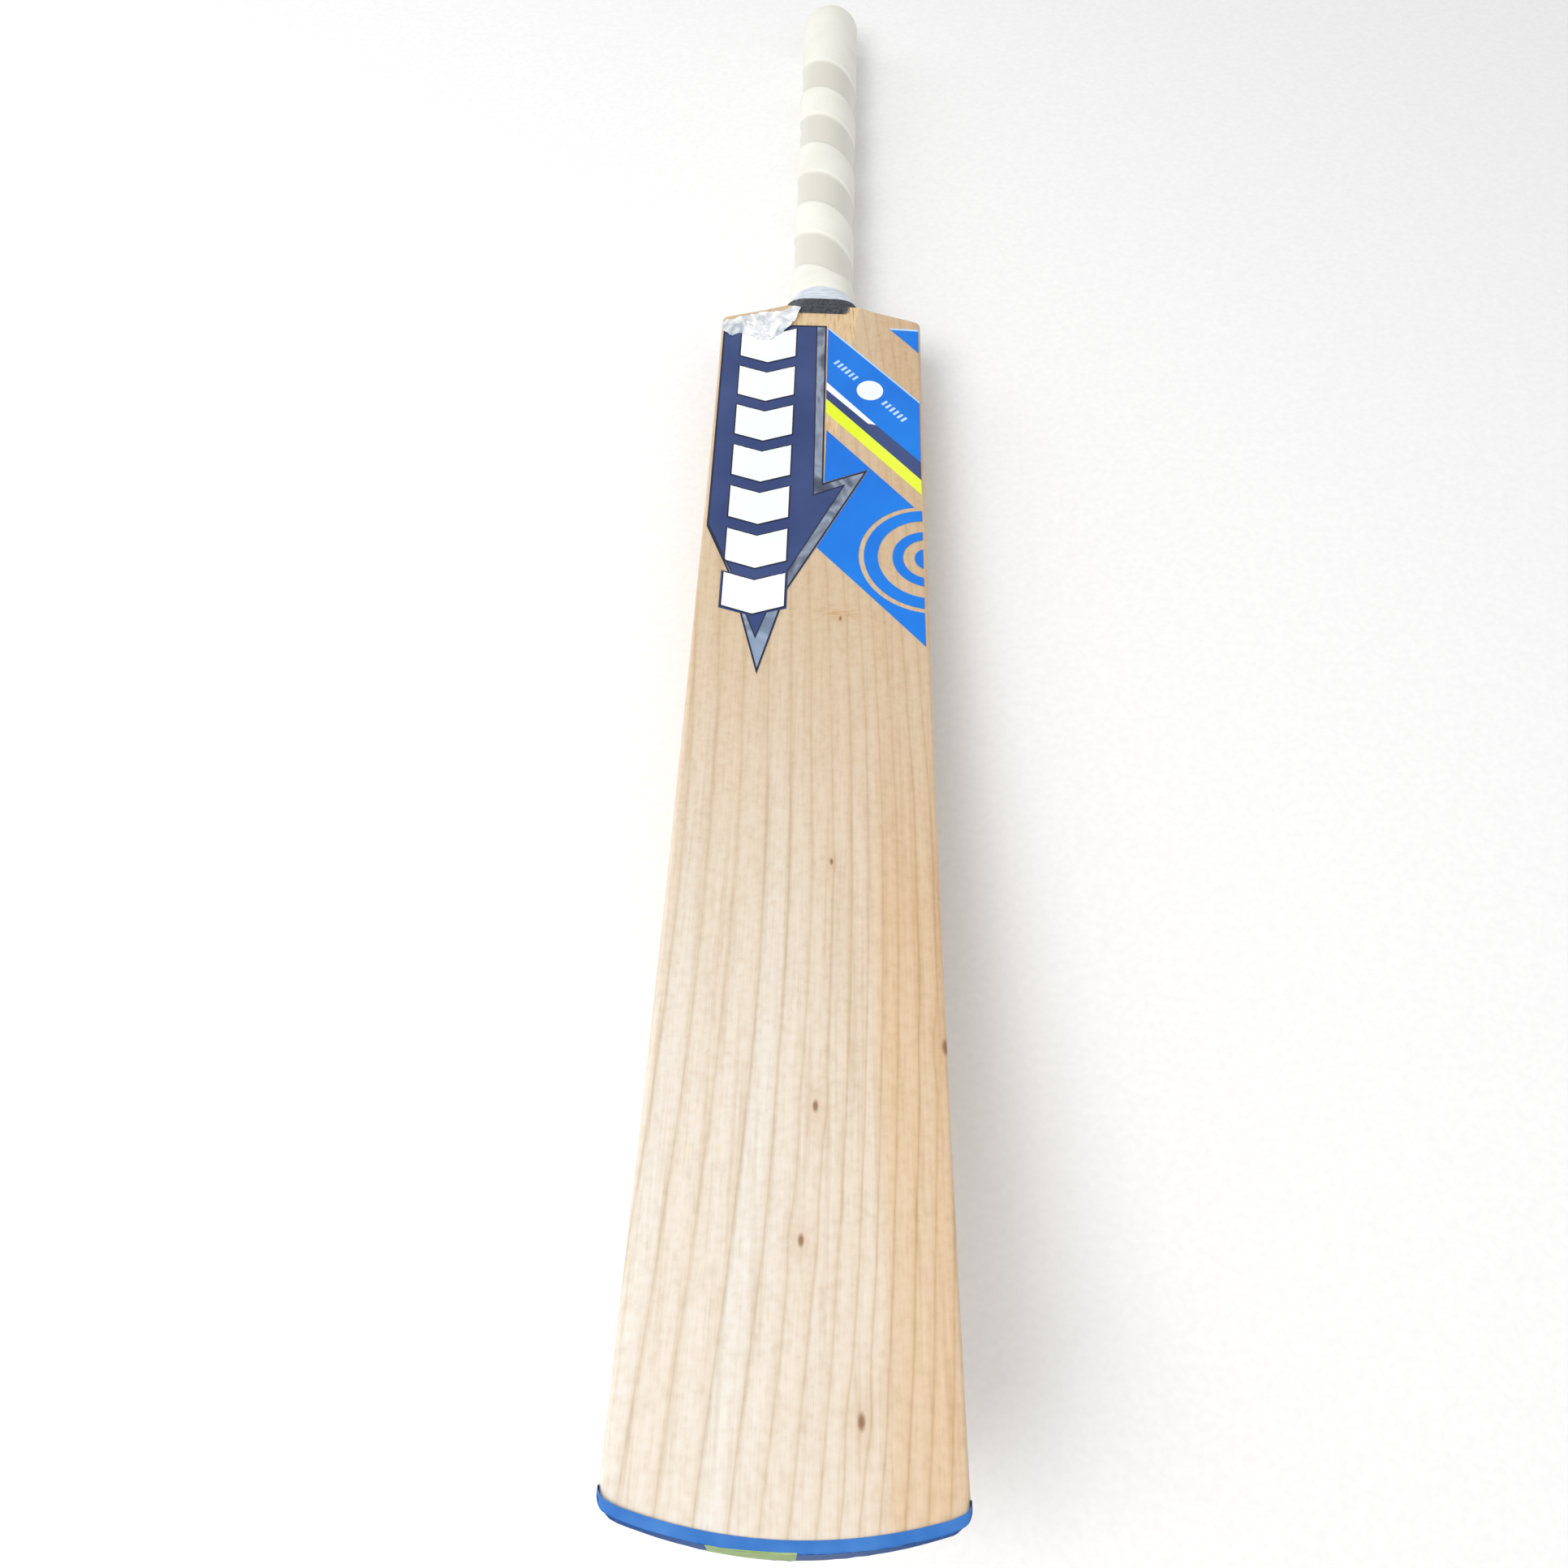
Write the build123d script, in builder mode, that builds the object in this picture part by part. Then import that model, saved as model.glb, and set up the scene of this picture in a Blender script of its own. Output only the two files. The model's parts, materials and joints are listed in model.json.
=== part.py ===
"""Adult short-handle cricket bat: willow blade, laminated cane handle, binding, grip, toe guard, labels.

A station is a distance in millimetres along the bat, from the toe of the blade's face to the handle.
X runs across the face, Y along the bat and Z out of the face. The bat lies on its back, face up,
resting on its spine and on the end of its handle.
"""

import os

from build123d import *

os.makedirs("parts", exist_ok=True)

# ---- Driving dimensions ----
BLADE_LENGTH = 563.5
BLADE_HALF_WIDTH = 54.0
FACE_BOW = 16.8  # how far the middle of the face lies behind its two ends
FACE_CROWN = 1.2  # how far the middle of the face stands proud of its sides
FACE_CORNER = 2.0
BACK_CORNER = 7.0
SPINE_HALF_WIDTH = 13.0
TOE_RADIUS = 172.0
TOE_CORNER = 6.0
TOE_GUARD = 3.0
TOE_GUARD_END = 10.0  # how far the guard reaches up the edges
TOE_PATCH = 0.5
SHOULDER_TOP = 572.5
HANDLE_TOP = 850.5
HANDLE_DEPTH = 17.9  # handle's axis below the face, at the shoulder
HANDLE_RADIUS = 14.6  # bare cane
CANE_END_CORNER = 3.5
SLEEVE_END_CORNER = 6.0
SPLICE_TIP = 415.0
SPLICE_HALF_WIDTH = 20.0
SPLICE_TIP_HALF_WIDTH = 2.0
BILLET_WIDTH = 10.0
SPRING = 1.6
SPRING_END = 492.0  # the rubber springs stop here, inside the splice
TWINE = 0.7
WHIPPING = 2.2
TAPE = 1.3
SLEEVE = 1.9
SLEEVE_TOP_WALL = 2.0
WHIPPING_START = 566.5
WHIPPING_END = 579.5
SLEEVE_START = 589.5
TOE_PATCH_MIDDLE = -9.0
TOE_PATCH_WIDTH = 26.0

# Layers on the face: heights of the underside and of the top above the wood.
VINYL = (0.02, 0.22)
PRINT = (0.24, 0.40)
FILM = (0.42, 0.54)

# The white chevrons down the main label.
CHEVRONS = 7
CHEVRON_LEFT = -41.6
CHEVRON_RIGHT = -13.0
CHEVRON_START = 555.0
CHEVRON_PITCH = 27.6
CHEVRON_DEPTH = 20.0
CHEVRON_POINT = 5.0
CHEVRON_RIM = 1.3  # navy left showing round the lowest chevron

# The diagonal bands right of the main label.
BAND_LEFT = 3.8
BAND_RIGHT = 51.6
BAND_FALL = 1.1  # how far a band drops for each millimetre to the right
DISC_CENTRE = (26.1, 512.1)
DISC_RADIUS = 6.8
TICKS = 6  # on each side of the disc
TICK_PITCH = 2.9
TICK_WIDTH = 1.4
TICK_HEIGHT = 3.6
TICK_ROW_CENTRE = 18.5
CREST_CENTRE = (54.0, 402.0)
CREST_RINGS = [(12.0, 6.5), (24.0, 17.0), (33.0, 30.5)]
FILM_OUTLINE = [(-50.4, 550.0), (-48.6, 562.6), (-28.0, 565.6), (-12.0, 565.6)]
FILM_OUTLINE += [(-17.1, 554.0), (-43.1, 547.1)]

# How the bat lies: tilt in degrees about X, and the middle of the face's chord.
REST_TILT = 8.223
REST_Y = 0.35
REST_Z = 61.94

TOTAL_LENGTH = HANDLE_TOP + TOE_GUARD
HANDLE_SLOPE = 4 * FACE_BOW / BLADE_LENGTH
HANDLE_STRETCH = (1 + HANDLE_SLOPE**2) ** 0.5  # length along the handle for each millimetre of station
DEEP = 150.0  # beyond the bat's depth, for cutting right through it
REST = Location((0, REST_Y, REST_Z), (-REST_TILT, 0, 0))

# Blade stations: distance, half width, depth of the edge, depth of the spine.
BLADE = [
    (-8.0, 54.0, 15.0, 22.0),
    (60.0, 54.0, 26.0, 40.0),
    (130.0, 54.0, 34.0, 54.0),
    (210.0, 54.0, 38.0, 62.0),
    (300.0, 54.0, 37.0, 61.0),
    (390.0, 53.8, 32.0, 53.0),
    (470.0, 53.4, 26.0, 43.0),
    (530.0, 53.1, 21.5, 36.0),
    (580.0, 52.9, 18.5, 32.3),
]

# Neck stations: distance, half width and half depth of the bare cane.
NECK = [
    (556.0, 17.0, 13.4),
    (572.0, 19.4, 15.4),
    (580.0, 17.2, 15.1),
    (590.0, 15.9, 14.8),
    (604.0, 15.0, 14.7),
    (620.0, HANDLE_RADIUS, HANDLE_RADIUS),
]


def along(station):
    """Y of a station, measured from the middle of the bat."""
    return station + TOE_GUARD - TOTAL_LENGTH / 2


def face_height(station):
    """Height of the middle of the face, which is hollow along its length."""
    share = station / BLADE_LENGTH
    return -4 * FACE_BOW * share * (1 - share)


def lying(plane):
    """Moves a plane of the level bat to where it is on the bat at rest."""
    return Plane(REST * plane.location)


def blade_plane(station):
    """Plane across the blade at a station, with its local Y out of the face."""
    return lying(Plane.XZ.offset(-along(station)))


def handle_plane(station):
    """Plane across the handle at a station, with its local Y out of the face."""
    height = (station - BLADE_LENGTH) * HANDLE_SLOPE - HANDLE_DEPTH
    middle = (0, along(station), height)
    return lying(Plane(middle, x_dir=(-1, 0, 0), z_dir=(0, 1, HANDLE_SLOPE)))


def face_plane(height=0.0):
    """Plane level with the ends of the face, with its local Y along the bat."""
    return lying(Plane.XY.offset(height))


def outline(points):
    """Corner points given as (across, station), as points of the face plane."""
    return [(across, along(station)) for across, station in points]


handle_axis = Axis((0, 0, 0), handle_plane(HANDLE_TOP).z_dir)


# ---- Blade ----
def face_curve(half_width, top):
    """Crowned face with its rounded edges, drawn from left to right."""
    side = top - FACE_CROWN
    middle = (1 - 0.5**0.5) * FACE_CORNER
    flat = half_width - FACE_CORNER
    with BuildLine() as curve:
        ThreePointArc(
            (-half_width, side - FACE_CORNER), (middle - half_width, side - middle), (-flat, side)
        )
        ThreePointArc((-flat, side), (0, top), (flat, side))
        ThreePointArc(
            (flat, side), (half_width - middle, side - middle), (half_width, side - FACE_CORNER)
        )
    return curve.line


def back_curve(half_width, edge, spine, top):
    """Edges, hollow flanks and ridge of the back, drawn from right to left."""
    middle = (1 - 0.5**0.5) * BACK_CORNER
    start = top - FACE_CROWN - FACE_CORNER
    flank = top - edge
    flat = half_width - BACK_CORNER
    ridge = top - spine
    brow = ridge + 0.28 * (spine - edge)
    hollow = ((flat + SPINE_HALF_WIDTH) / 2, (flank + brow) / 2 + 0.07 * (spine - edge))
    with BuildLine() as curve:
        for side in (1, -1):
            edge_corner = (side * half_width, flank + BACK_CORNER)
            Line((side * half_width, start), edge_corner)
            ThreePointArc(
                edge_corner, (side * (half_width - middle), flank + middle), (side * flat, flank)
            )
            ThreePointArc(
                (side * flat, flank), (side * hollow[0], hollow[1]), (side * SPINE_HALF_WIDTH, brow)
            )
        ThreePointArc((SPINE_HALF_WIDTH, brow), (0, ridge), (-SPINE_HALF_WIDTH, brow))
    return curve.line


def blade_section(station, half_width, edge, spine):
    """Closed section of the blade at a station."""
    top = face_height(station)
    with BuildSketch(blade_plane(station)) as section:
        with BuildLine():
            add(face_curve(half_width, top))
            add(back_curve(half_width, edge, spine, top))
        make_face()
    return section.sketch


def face_form(height):
    """Solid under a surface that lies a height above the blade's face."""
    with BuildPart() as form:
        for station, half_width, edge, spine in BLADE:
            top = face_height(station)
            with BuildSketch(blade_plane(station)):
                with BuildLine():
                    add(Pos(0, height) * face_curve(half_width, top))
                    Polyline(
                        (half_width, top - FACE_CROWN - FACE_CORNER + height),
                        (half_width, -60),
                        (-half_width, -60),
                        (-half_width, top - FACE_CROWN - FACE_CORNER + height),
                    )
                make_face()
        loft()
    return form.part


def front_outline(drop):
    """Outline of the blade seen from the front, with its toe lowered by drop."""
    radius = TOE_RADIUS + drop
    side = BLADE_HALF_WIDTH + 0.1
    corner = BLADE_HALF_WIDTH - 1.0
    rise = radius - (radius**2 - side**2) ** 0.5
    with BuildSketch(face_plane(-DEEP)) as front:
        with BuildLine():
            toe = ThreePointArc(
                (-side, along(rise - drop)), (0, along(-drop)), (side, along(rise - drop))
            )
            right = Polyline(toe @ 1, (side, along(540)), (corner, along(559)))
            right_corner = RadiusArc(right @ 1, (48, along(564.6)), -5)
            right_neck = RadiusArc(right_corner @ 1, (SPLICE_HALF_WIDTH, along(SHOULDER_TOP)), 90)
            top = Line(right_neck @ 1, (-SPLICE_HALF_WIDTH, along(SHOULDER_TOP)))
            left_neck = RadiusArc(top @ 1, (-48, along(564.6)), 90)
            left_corner = RadiusArc(left_neck @ 1, (-corner, along(559)), -5)
            Polyline(left_corner @ 1, (-side, along(540)), toe @ 0)
        make_face()
        fillet(front.vertices().sort_by(Axis.Y)[:2], TOE_CORNER)
    return front.sketch


with BuildPart() as cleft:
    for station_values in BLADE:
        add(blade_section(*station_values))
    loft()

with BuildPart() as blank:
    extrude(front_outline(0), amount=2 * DEEP)
    add(cleft.part, mode=Mode.INTERSECT)

with BuildPart() as wedge:
    with BuildSketch(face_plane(-DEEP)):
        half_points = [(SPLICE_TIP_HALF_WIDTH, SPLICE_TIP), (SPLICE_HALF_WIDTH, SHOULDER_TOP)]
        half_points += [(SPLICE_HALF_WIDTH, SHOULDER_TOP + 10)]
        mirrored = [(-across, station) for across, station in reversed(half_points)]
        Polygon(*outline(half_points + mirrored), align=None)
    extrude(amount=2 * DEEP)

with BuildPart() as blade:
    add(blank.part)
    add(wedge.part, mode=Mode.SUBTRACT)
blade.part.label = "blade"
export_step(blade.part, "parts/blade.step")

with BuildPart() as splice:
    add(blank.part)
    add(wedge.part, mode=Mode.INTERSECT)


# ---- Handle: the neck flares into the shoulders, the rest is round ----
def handle_layer(cover, top, corner=0.0):
    """Handle with a cover of the given thickness, up to a station, with its top edge rounded."""
    radius = HANDLE_RADIUS + cover
    with BuildPart() as layer:
        for station, half_width, half_depth in NECK:
            with BuildSketch(handle_plane(station)):
                Ellipse(half_width + cover, half_depth + cover)
        loft()
        straight_start = NECK[-1][0]
        with BuildSketch(handle_plane(straight_start)):
            Circle(radius)
        extrude(amount=(top - straight_start) * HANDLE_STRETCH)
        if corner:
            end = layer.faces().sort_by(handle_axis)[-1]
            fillet(end.edges(), corner)
    return layer.part


def handle_slice(start, end):
    """Block across the handle between two stations."""
    with BuildPart() as block:
        with BuildSketch(handle_plane(start)):
            Rectangle(DEEP, DEEP)
        extrude(amount=(end - start) * HANDLE_STRETCH)
    return block.part


cane_top = HANDLE_TOP - SLEEVE_TOP_WALL
cane = handle_layer(0, cane_top, CANE_END_CORNER)
bound_cane = handle_layer(TWINE, cane_top - CANE_END_CORNER - 1)

with BuildPart() as turned_handle:
    add(splice.part)
    add(cane)
    add(blade.part, mode=Mode.SUBTRACT)

# ---- Rubber springs between the slabs of cane ----
SPRING_NAMES = ["back", "middle", "front"]
spring_heights = [-HANDLE_RADIUS / 2, 0, HANDLE_RADIUS / 2]

for name, height in zip(SPRING_NAMES, spring_heights):
    with BuildPart() as spring:
        with BuildSketch(handle_plane(SPRING_END)):
            with Locations((0, height)):
                Rectangle(DEEP, SPRING)
        extrude(amount=(HANDLE_TOP - SPRING_END) * HANDLE_STRETCH)
        add(turned_handle.part, mode=Mode.INTERSECT)
    spring.part.label = f"rubber_spring_{name}"
    export_step(spring.part, f"parts/rubber_spring_{name}.step")

# ---- Cane billets: four slabs, each of three billets side by side ----
slab_edges = [-DEEP / 2, *spring_heights, DEEP / 2]
billet_edges = [-DEEP / 2, -BILLET_WIDTH / 2, BILLET_WIDTH / 2, DEEP / 2]

with BuildPart() as spring_slots:
    with BuildSketch(handle_plane(SPRING_END)):
        with Locations(*[(0, height) for height in spring_heights]):
            Rectangle(DEEP, SPRING)
    extrude(amount=(HANDLE_TOP - SPRING_END) * HANDLE_STRETCH)

with BuildPart() as slotted_handle:
    add(turned_handle.part)
    add(spring_slots.part, mode=Mode.SUBTRACT)

for slab, (low, high) in enumerate(zip(slab_edges, slab_edges[1:]), start=1):
    for column, (left, right) in enumerate(zip(billet_edges, billet_edges[1:]), start=1):
        with BuildPart() as billet:
            with BuildSketch(handle_plane(SPLICE_TIP - 20)):
                with Locations(((left + right) / 2, (low + high) / 2)):
                    Rectangle(right - left, high - low)
            extrude(amount=(HANDLE_TOP + 20 - SPLICE_TIP) * HANDLE_STRETCH)
            add(slotted_handle.part, mode=Mode.INTERSECT)
        billet.part.label = f"cane_billet_{slab}_{column}"
        export_step(billet.part, f"parts/cane_billet_{slab}_{column}.step")

# ---- Twine binding ----
with BuildPart() as handle_binding:
    add(bound_cane)
    add(cane, mode=Mode.SUBTRACT)
    add(blank.part, mode=Mode.SUBTRACT)
handle_binding.part.label = "handle_binding"
export_step(handle_binding.part, "parts/handle_binding.step")

# ---- Whipping, the dark collar over the shoulders ----
with BuildPart() as neck_whipping:
    add(handle_layer(TWINE + WHIPPING, cane_top))
    add(handle_slice(WHIPPING_START, WHIPPING_END), mode=Mode.INTERSECT)
    add(bound_cane, mode=Mode.SUBTRACT)
    add(blank.part, mode=Mode.SUBTRACT)
neck_whipping.part.label = "neck_whipping"
export_step(neck_whipping.part, "parts/neck_whipping.step")

# ---- Tape that closes the gap between the whipping and the grip ----
with BuildPart() as neck_tape:
    add(handle_layer(TWINE + TAPE, cane_top))
    add(handle_slice(WHIPPING_END, SLEEVE_START), mode=Mode.INTERSECT)
    add(bound_cane, mode=Mode.SUBTRACT)
neck_tape.part.label = "neck_tape"
export_step(neck_tape.part, "parts/neck_tape.step")

# ---- Grip: a rubber sleeve with a closed, rounded end ----
with BuildPart() as grip_sleeve:
    add(handle_layer(TWINE + SLEEVE, HANDLE_TOP, SLEEVE_END_CORNER))
    add(handle_slice(SLEEVE_START, HANDLE_TOP + 10), mode=Mode.INTERSECT)
    add(bound_cane, mode=Mode.SUBTRACT)
    add(cane, mode=Mode.SUBTRACT)
grip_sleeve.part.label = "grip_sleeve"
export_step(grip_sleeve.part, "parts/grip_sleeve.step")

# ---- Toe guard, with a coloured patch let into its underside ----
toe_strip = front_outline(TOE_GUARD) - front_outline(0)

with BuildPart() as toe_rubber:
    extrude(toe_strip, amount=2 * DEEP)
    add(cleft.part, mode=Mode.INTERSECT)
    with BuildSketch(blade_plane(TOE_GUARD_END)):
        Rectangle(2 * DEEP, 2 * DEEP)
    extrude(amount=DEEP, mode=Mode.INTERSECT)

with BuildPart() as toe_guard_patch:
    add(toe_rubber.part)
    with BuildSketch(face_plane(-DEEP)):
        with Locations((TOE_PATCH_MIDDLE, along(-TOE_GUARD))):
            Rectangle(TOE_PATCH_WIDTH, 4 * TOE_GUARD)
    extrude(amount=2 * DEEP, mode=Mode.INTERSECT)
    extrude(front_outline(TOE_GUARD - TOE_PATCH), amount=2 * DEEP, mode=Mode.SUBTRACT)
toe_guard_patch.part.label = "toe_guard_patch"
export_step(toe_guard_patch.part, "parts/toe_guard_patch.step")

with BuildPart() as toe_guard:
    add(toe_rubber.part)
    add(toe_guard_patch.part, mode=Mode.SUBTRACT)
toe_guard.part.label = "toe_guard"
export_step(toe_guard.part, "parts/toe_guard.step")


# ---- Labels: each is a flat outline, cut through a thin layer that follows the face ----
over_vinyl, under_vinyl = face_form(VINYL[1]), face_form(VINYL[0])
over_print, under_print = face_form(PRINT[1]), face_form(PRINT[0])
over_film, under_film = face_form(FILM[1]), face_form(FILM[0])


def chevron(number, rim=0.0):
    """Outline of a white chevron, counted from the shoulders, widened by a rim."""
    top = CHEVRON_START - number * CHEVRON_PITCH + rim
    bottom = top - CHEVRON_DEPTH - 2 * rim
    left, right = CHEVRON_LEFT - rim, CHEVRON_RIGHT + rim
    middle = (left + right) / 2
    points = [(left, top), (middle, top - CHEVRON_POINT), (right, top)]
    points += [(right, bottom), (middle, bottom - CHEVRON_POINT), (left, bottom)]
    return outline(points)


def band(upper_left, lower_left, right=BAND_RIGHT):
    """Outline of a diagonal band, from the stations of its left end."""
    fall = BAND_FALL * (right - BAND_LEFT)
    points = [(BAND_LEFT, upper_left), (right, upper_left - fall)]
    points += [(right, lower_left - fall), (BAND_LEFT, lower_left)]
    return outline(points)


def disc_plane():
    """Plane of the disc, turned so that its X follows the diagonal bands."""
    return lying(
        Plane(
            (DISC_CENTRE[0], along(DISC_CENTRE[1]), -DEEP),
            x_dir=(1, -BAND_FALL, 0),
            z_dir=(0, 0, 1),
        )
    )


navy_outline = outline(
    [(-51.6, 557.5), (-2.4, 557.5), (-1.4, 439.0), (13.2, 446.0), (-12.6, 390.0), (-16.5, 381.0)]
    + [(-25.2, 351.4), (-29.8, 364.3), (-36.5, 386.5), (-43.4, 402.0), (-51.6, 421.5)]
)
arrow_outline = outline(
    [(-51.6, 557.5), (3.0, 557.5), (3.5, 447.3), (25.2, 457.1), (-11.5, 380.0), (-23.6, 329.8)]
    + [(-38.5, 386.5), (-51.6, 418.3)]
)

with BuildPart() as main_label:
    with BuildSketch(face_plane(-DEEP)):
        Polygon(*navy_outline, align=None)
        Polygon(*chevron(CHEVRONS - 1, CHEVRON_RIM), align=None)
    extrude(amount=2 * DEEP)
    add(over_vinyl, mode=Mode.INTERSECT)
    add(under_vinyl, mode=Mode.SUBTRACT)
main_label.part.label = "main_label"
export_step(main_label.part, "parts/main_label.step")

with BuildPart() as silver_edge:
    with BuildSketch(face_plane(-DEEP)):
        Polygon(*arrow_outline, align=None)
        Polygon(*navy_outline, align=None, mode=Mode.SUBTRACT)
        Polygon(*chevron(CHEVRONS - 1, CHEVRON_RIM), align=None, mode=Mode.SUBTRACT)
    extrude(amount=2 * DEEP)
    add(over_vinyl, mode=Mode.INTERSECT)
    add(under_vinyl, mode=Mode.SUBTRACT)
silver_edge.part.label = "silver_edge"
export_step(silver_edge.part, "parts/silver_edge.step")

with BuildPart() as white_chevrons:
    with BuildSketch(face_plane(-DEEP)):
        for number in range(CHEVRONS):
            Polygon(*chevron(number), align=None)
    extrude(amount=2 * DEEP)
    add(over_print, mode=Mode.INTERSECT)
    add(under_print, mode=Mode.SUBTRACT)
white_chevrons.part.label = "white_chevrons"
export_step(white_chevrons.part, "parts/white_chevrons.step")

band_label_outline = outline(
    [(BAND_LEFT, 556.5), (BAND_RIGHT, 506.0), (BAND_RIGHT, 464.5), (29.3, 488.2)]
    + [(BAND_LEFT, 516.9)]
)

with BuildPart() as blue_band_label:
    with BuildSketch(face_plane(-DEEP)):
        Polygon(*band_label_outline, align=None)
    extrude(amount=2 * DEEP)
    add(over_vinyl, mode=Mode.INTERSECT)
    add(under_vinyl, mode=Mode.SUBTRACT)
blue_band_label.part.label = "blue_band_label"
export_step(blue_band_label.part, "parts/blue_band_label.step")

with BuildPart() as white_stripe:
    with BuildSketch(face_plane(-DEEP)):
        Polygon(*outline([(BAND_LEFT, 516.9), (29.3, 488.2), (BAND_LEFT, 512.0)]), align=None)
    extrude(amount=2 * DEEP)
    add(over_vinyl, mode=Mode.INTERSECT)
    add(under_vinyl, mode=Mode.SUBTRACT)
white_stripe.part.label = "white_stripe"
export_step(white_stripe.part, "parts/white_stripe.step")

stripe_fall = BAND_FALL * (BAND_RIGHT - BAND_LEFT)
navy_stripe_outline = outline(
    [(BAND_LEFT, 512.0), (29.3, 488.2), (BAND_RIGHT, 464.5), (BAND_RIGHT, 505.3 - stripe_fall)]
    + [(BAND_LEFT, 505.3)]
)

with BuildPart() as navy_stripe:
    with BuildSketch(face_plane(-DEEP)):
        Polygon(*navy_stripe_outline, align=None)
    extrude(amount=2 * DEEP)
    add(over_vinyl, mode=Mode.INTERSECT)
    add(under_vinyl, mode=Mode.SUBTRACT)
navy_stripe.part.label = "navy_stripe"
export_step(navy_stripe.part, "parts/navy_stripe.step")

with BuildPart() as lime_stripe:
    with BuildSketch(face_plane(-DEEP)):
        Polygon(*band(505.2, 495.7), align=None)
    extrude(amount=2 * DEEP)
    add(over_vinyl, mode=Mode.INTERSECT)
    add(under_vinyl, mode=Mode.SUBTRACT)
lime_stripe.part.label = "lime_stripe"
export_step(lime_stripe.part, "parts/lime_stripe.step")

with BuildPart() as band_disc:
    with BuildSketch(disc_plane()):
        Circle(DISC_RADIUS)
    extrude(amount=2 * DEEP)
    add(over_print, mode=Mode.INTERSECT)
    add(under_print, mode=Mode.SUBTRACT)
band_disc.part.label = "band_disc"
export_step(band_disc.part, "parts/band_disc.step")

with BuildPart() as band_ticks:
    with BuildSketch(disc_plane()):
        for side in (-1, 1):
            with Locations((side * TICK_ROW_CENTRE, 0)):
                with GridLocations(TICK_PITCH, 1, TICKS, 1):
                    Rectangle(TICK_WIDTH, TICK_HEIGHT)
    extrude(amount=2 * DEEP)
    add(over_print, mode=Mode.INTERSECT)
    add(under_print, mode=Mode.SUBTRACT)
band_ticks.part.label = "band_ticks"
export_step(band_ticks.part, "parts/band_ticks.step")

lower_label_outline = outline(
    [(4.4, 483.3), (49.6, 432.4), (BAND_RIGHT, 432.4), (BAND_RIGHT, 349.5), (1.2, 406.0)]
    + [(25.8, 457.8), (3.9, 448.0)]
)

with BuildPart() as lower_label:
    with BuildSketch(face_plane(-DEEP)):
        Polygon(*lower_label_outline, align=None)
        with Locations((CREST_CENTRE[0], along(CREST_CENTRE[1]))):
            for outer, inner in CREST_RINGS:
                with BuildSketch(mode=Mode.SUBTRACT):
                    Circle(outer)
                    Circle(inner, mode=Mode.SUBTRACT)
    extrude(amount=2 * DEEP)
    add(over_vinyl, mode=Mode.INTERSECT)
    add(under_vinyl, mode=Mode.SUBTRACT)
lower_label.part.label = "lower_label"
export_step(lower_label.part, "parts/lower_label.step")

with BuildPart() as corner_label:
    with BuildSketch(face_plane(-DEEP)):
        Polygon(*outline([(36.0, 558.0), (BAND_RIGHT, 558.0), (BAND_RIGHT, 541.5)]), align=None)
    extrude(amount=2 * DEEP)
    add(over_vinyl, mode=Mode.INTERSECT)
    add(under_vinyl, mode=Mode.SUBTRACT)
corner_label.part.label = "corner_label"
export_step(corner_label.part, "parts/corner_label.step")

with BuildPart() as clear_film:
    with BuildSketch(face_plane(-DEEP)):
        Polygon(*outline(FILM_OUTLINE), align=None)
    extrude(amount=2 * DEEP)
    add(over_film, mode=Mode.INTERSECT)
    add(under_film, mode=Mode.SUBTRACT)
clear_film.part.label = "clear_film"
export_step(clear_film.part, "parts/clear_film.step")
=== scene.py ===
"""Finished look of an adult short-handle cricket bat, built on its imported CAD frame.

Every piece is drawn on the level bat and then laid down with it. On the level bat X runs across
the face, Y is the station, the distance from the toe of the face towards the handle, and Z leaves
the face.
"""

import json
from math import atan2, ceil, copysign, cos, hypot, pi, radians, sin, sqrt

import bmesh
import bpy
from bpy.props import (
    FloatProperty,
    FloatVectorProperty,
    IntProperty,
    PointerProperty,
    StringProperty,
)
from bpy.types import Operator, Panel, PropertyGroup
from mathutils import Matrix, Vector, noise
from mathutils.geometry import delaunay_2d_cdt


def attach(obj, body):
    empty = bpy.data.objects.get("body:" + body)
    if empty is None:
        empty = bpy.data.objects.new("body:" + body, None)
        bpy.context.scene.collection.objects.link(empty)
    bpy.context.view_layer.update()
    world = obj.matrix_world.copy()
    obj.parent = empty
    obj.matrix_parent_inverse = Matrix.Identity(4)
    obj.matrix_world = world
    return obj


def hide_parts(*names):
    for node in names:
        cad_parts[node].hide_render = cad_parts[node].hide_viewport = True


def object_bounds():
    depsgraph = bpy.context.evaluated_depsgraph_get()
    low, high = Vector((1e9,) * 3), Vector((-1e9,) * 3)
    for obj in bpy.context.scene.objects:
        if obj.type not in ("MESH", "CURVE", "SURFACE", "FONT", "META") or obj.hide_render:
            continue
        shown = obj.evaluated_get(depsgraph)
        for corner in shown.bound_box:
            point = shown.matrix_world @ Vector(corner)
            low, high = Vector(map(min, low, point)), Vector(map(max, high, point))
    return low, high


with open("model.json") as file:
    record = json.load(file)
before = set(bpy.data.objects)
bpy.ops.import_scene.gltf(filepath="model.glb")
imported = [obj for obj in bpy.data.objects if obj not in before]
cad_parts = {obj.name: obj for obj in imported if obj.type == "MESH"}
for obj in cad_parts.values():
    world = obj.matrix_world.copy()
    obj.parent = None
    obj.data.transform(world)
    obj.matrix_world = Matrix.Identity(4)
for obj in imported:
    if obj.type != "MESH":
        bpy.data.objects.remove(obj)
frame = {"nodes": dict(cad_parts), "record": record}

bl_info = {
    "name": "Cricket Bat",
    "version": (1, 0, 0),
    "blender": (4, 5, 0),
    "location": "3D View > Sidebar > Cricket Bat",
    "description": "Builds a cricket bat's blade, handle, grip, toe guard and labels",
    "category": "Add Mesh",
}

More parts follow.
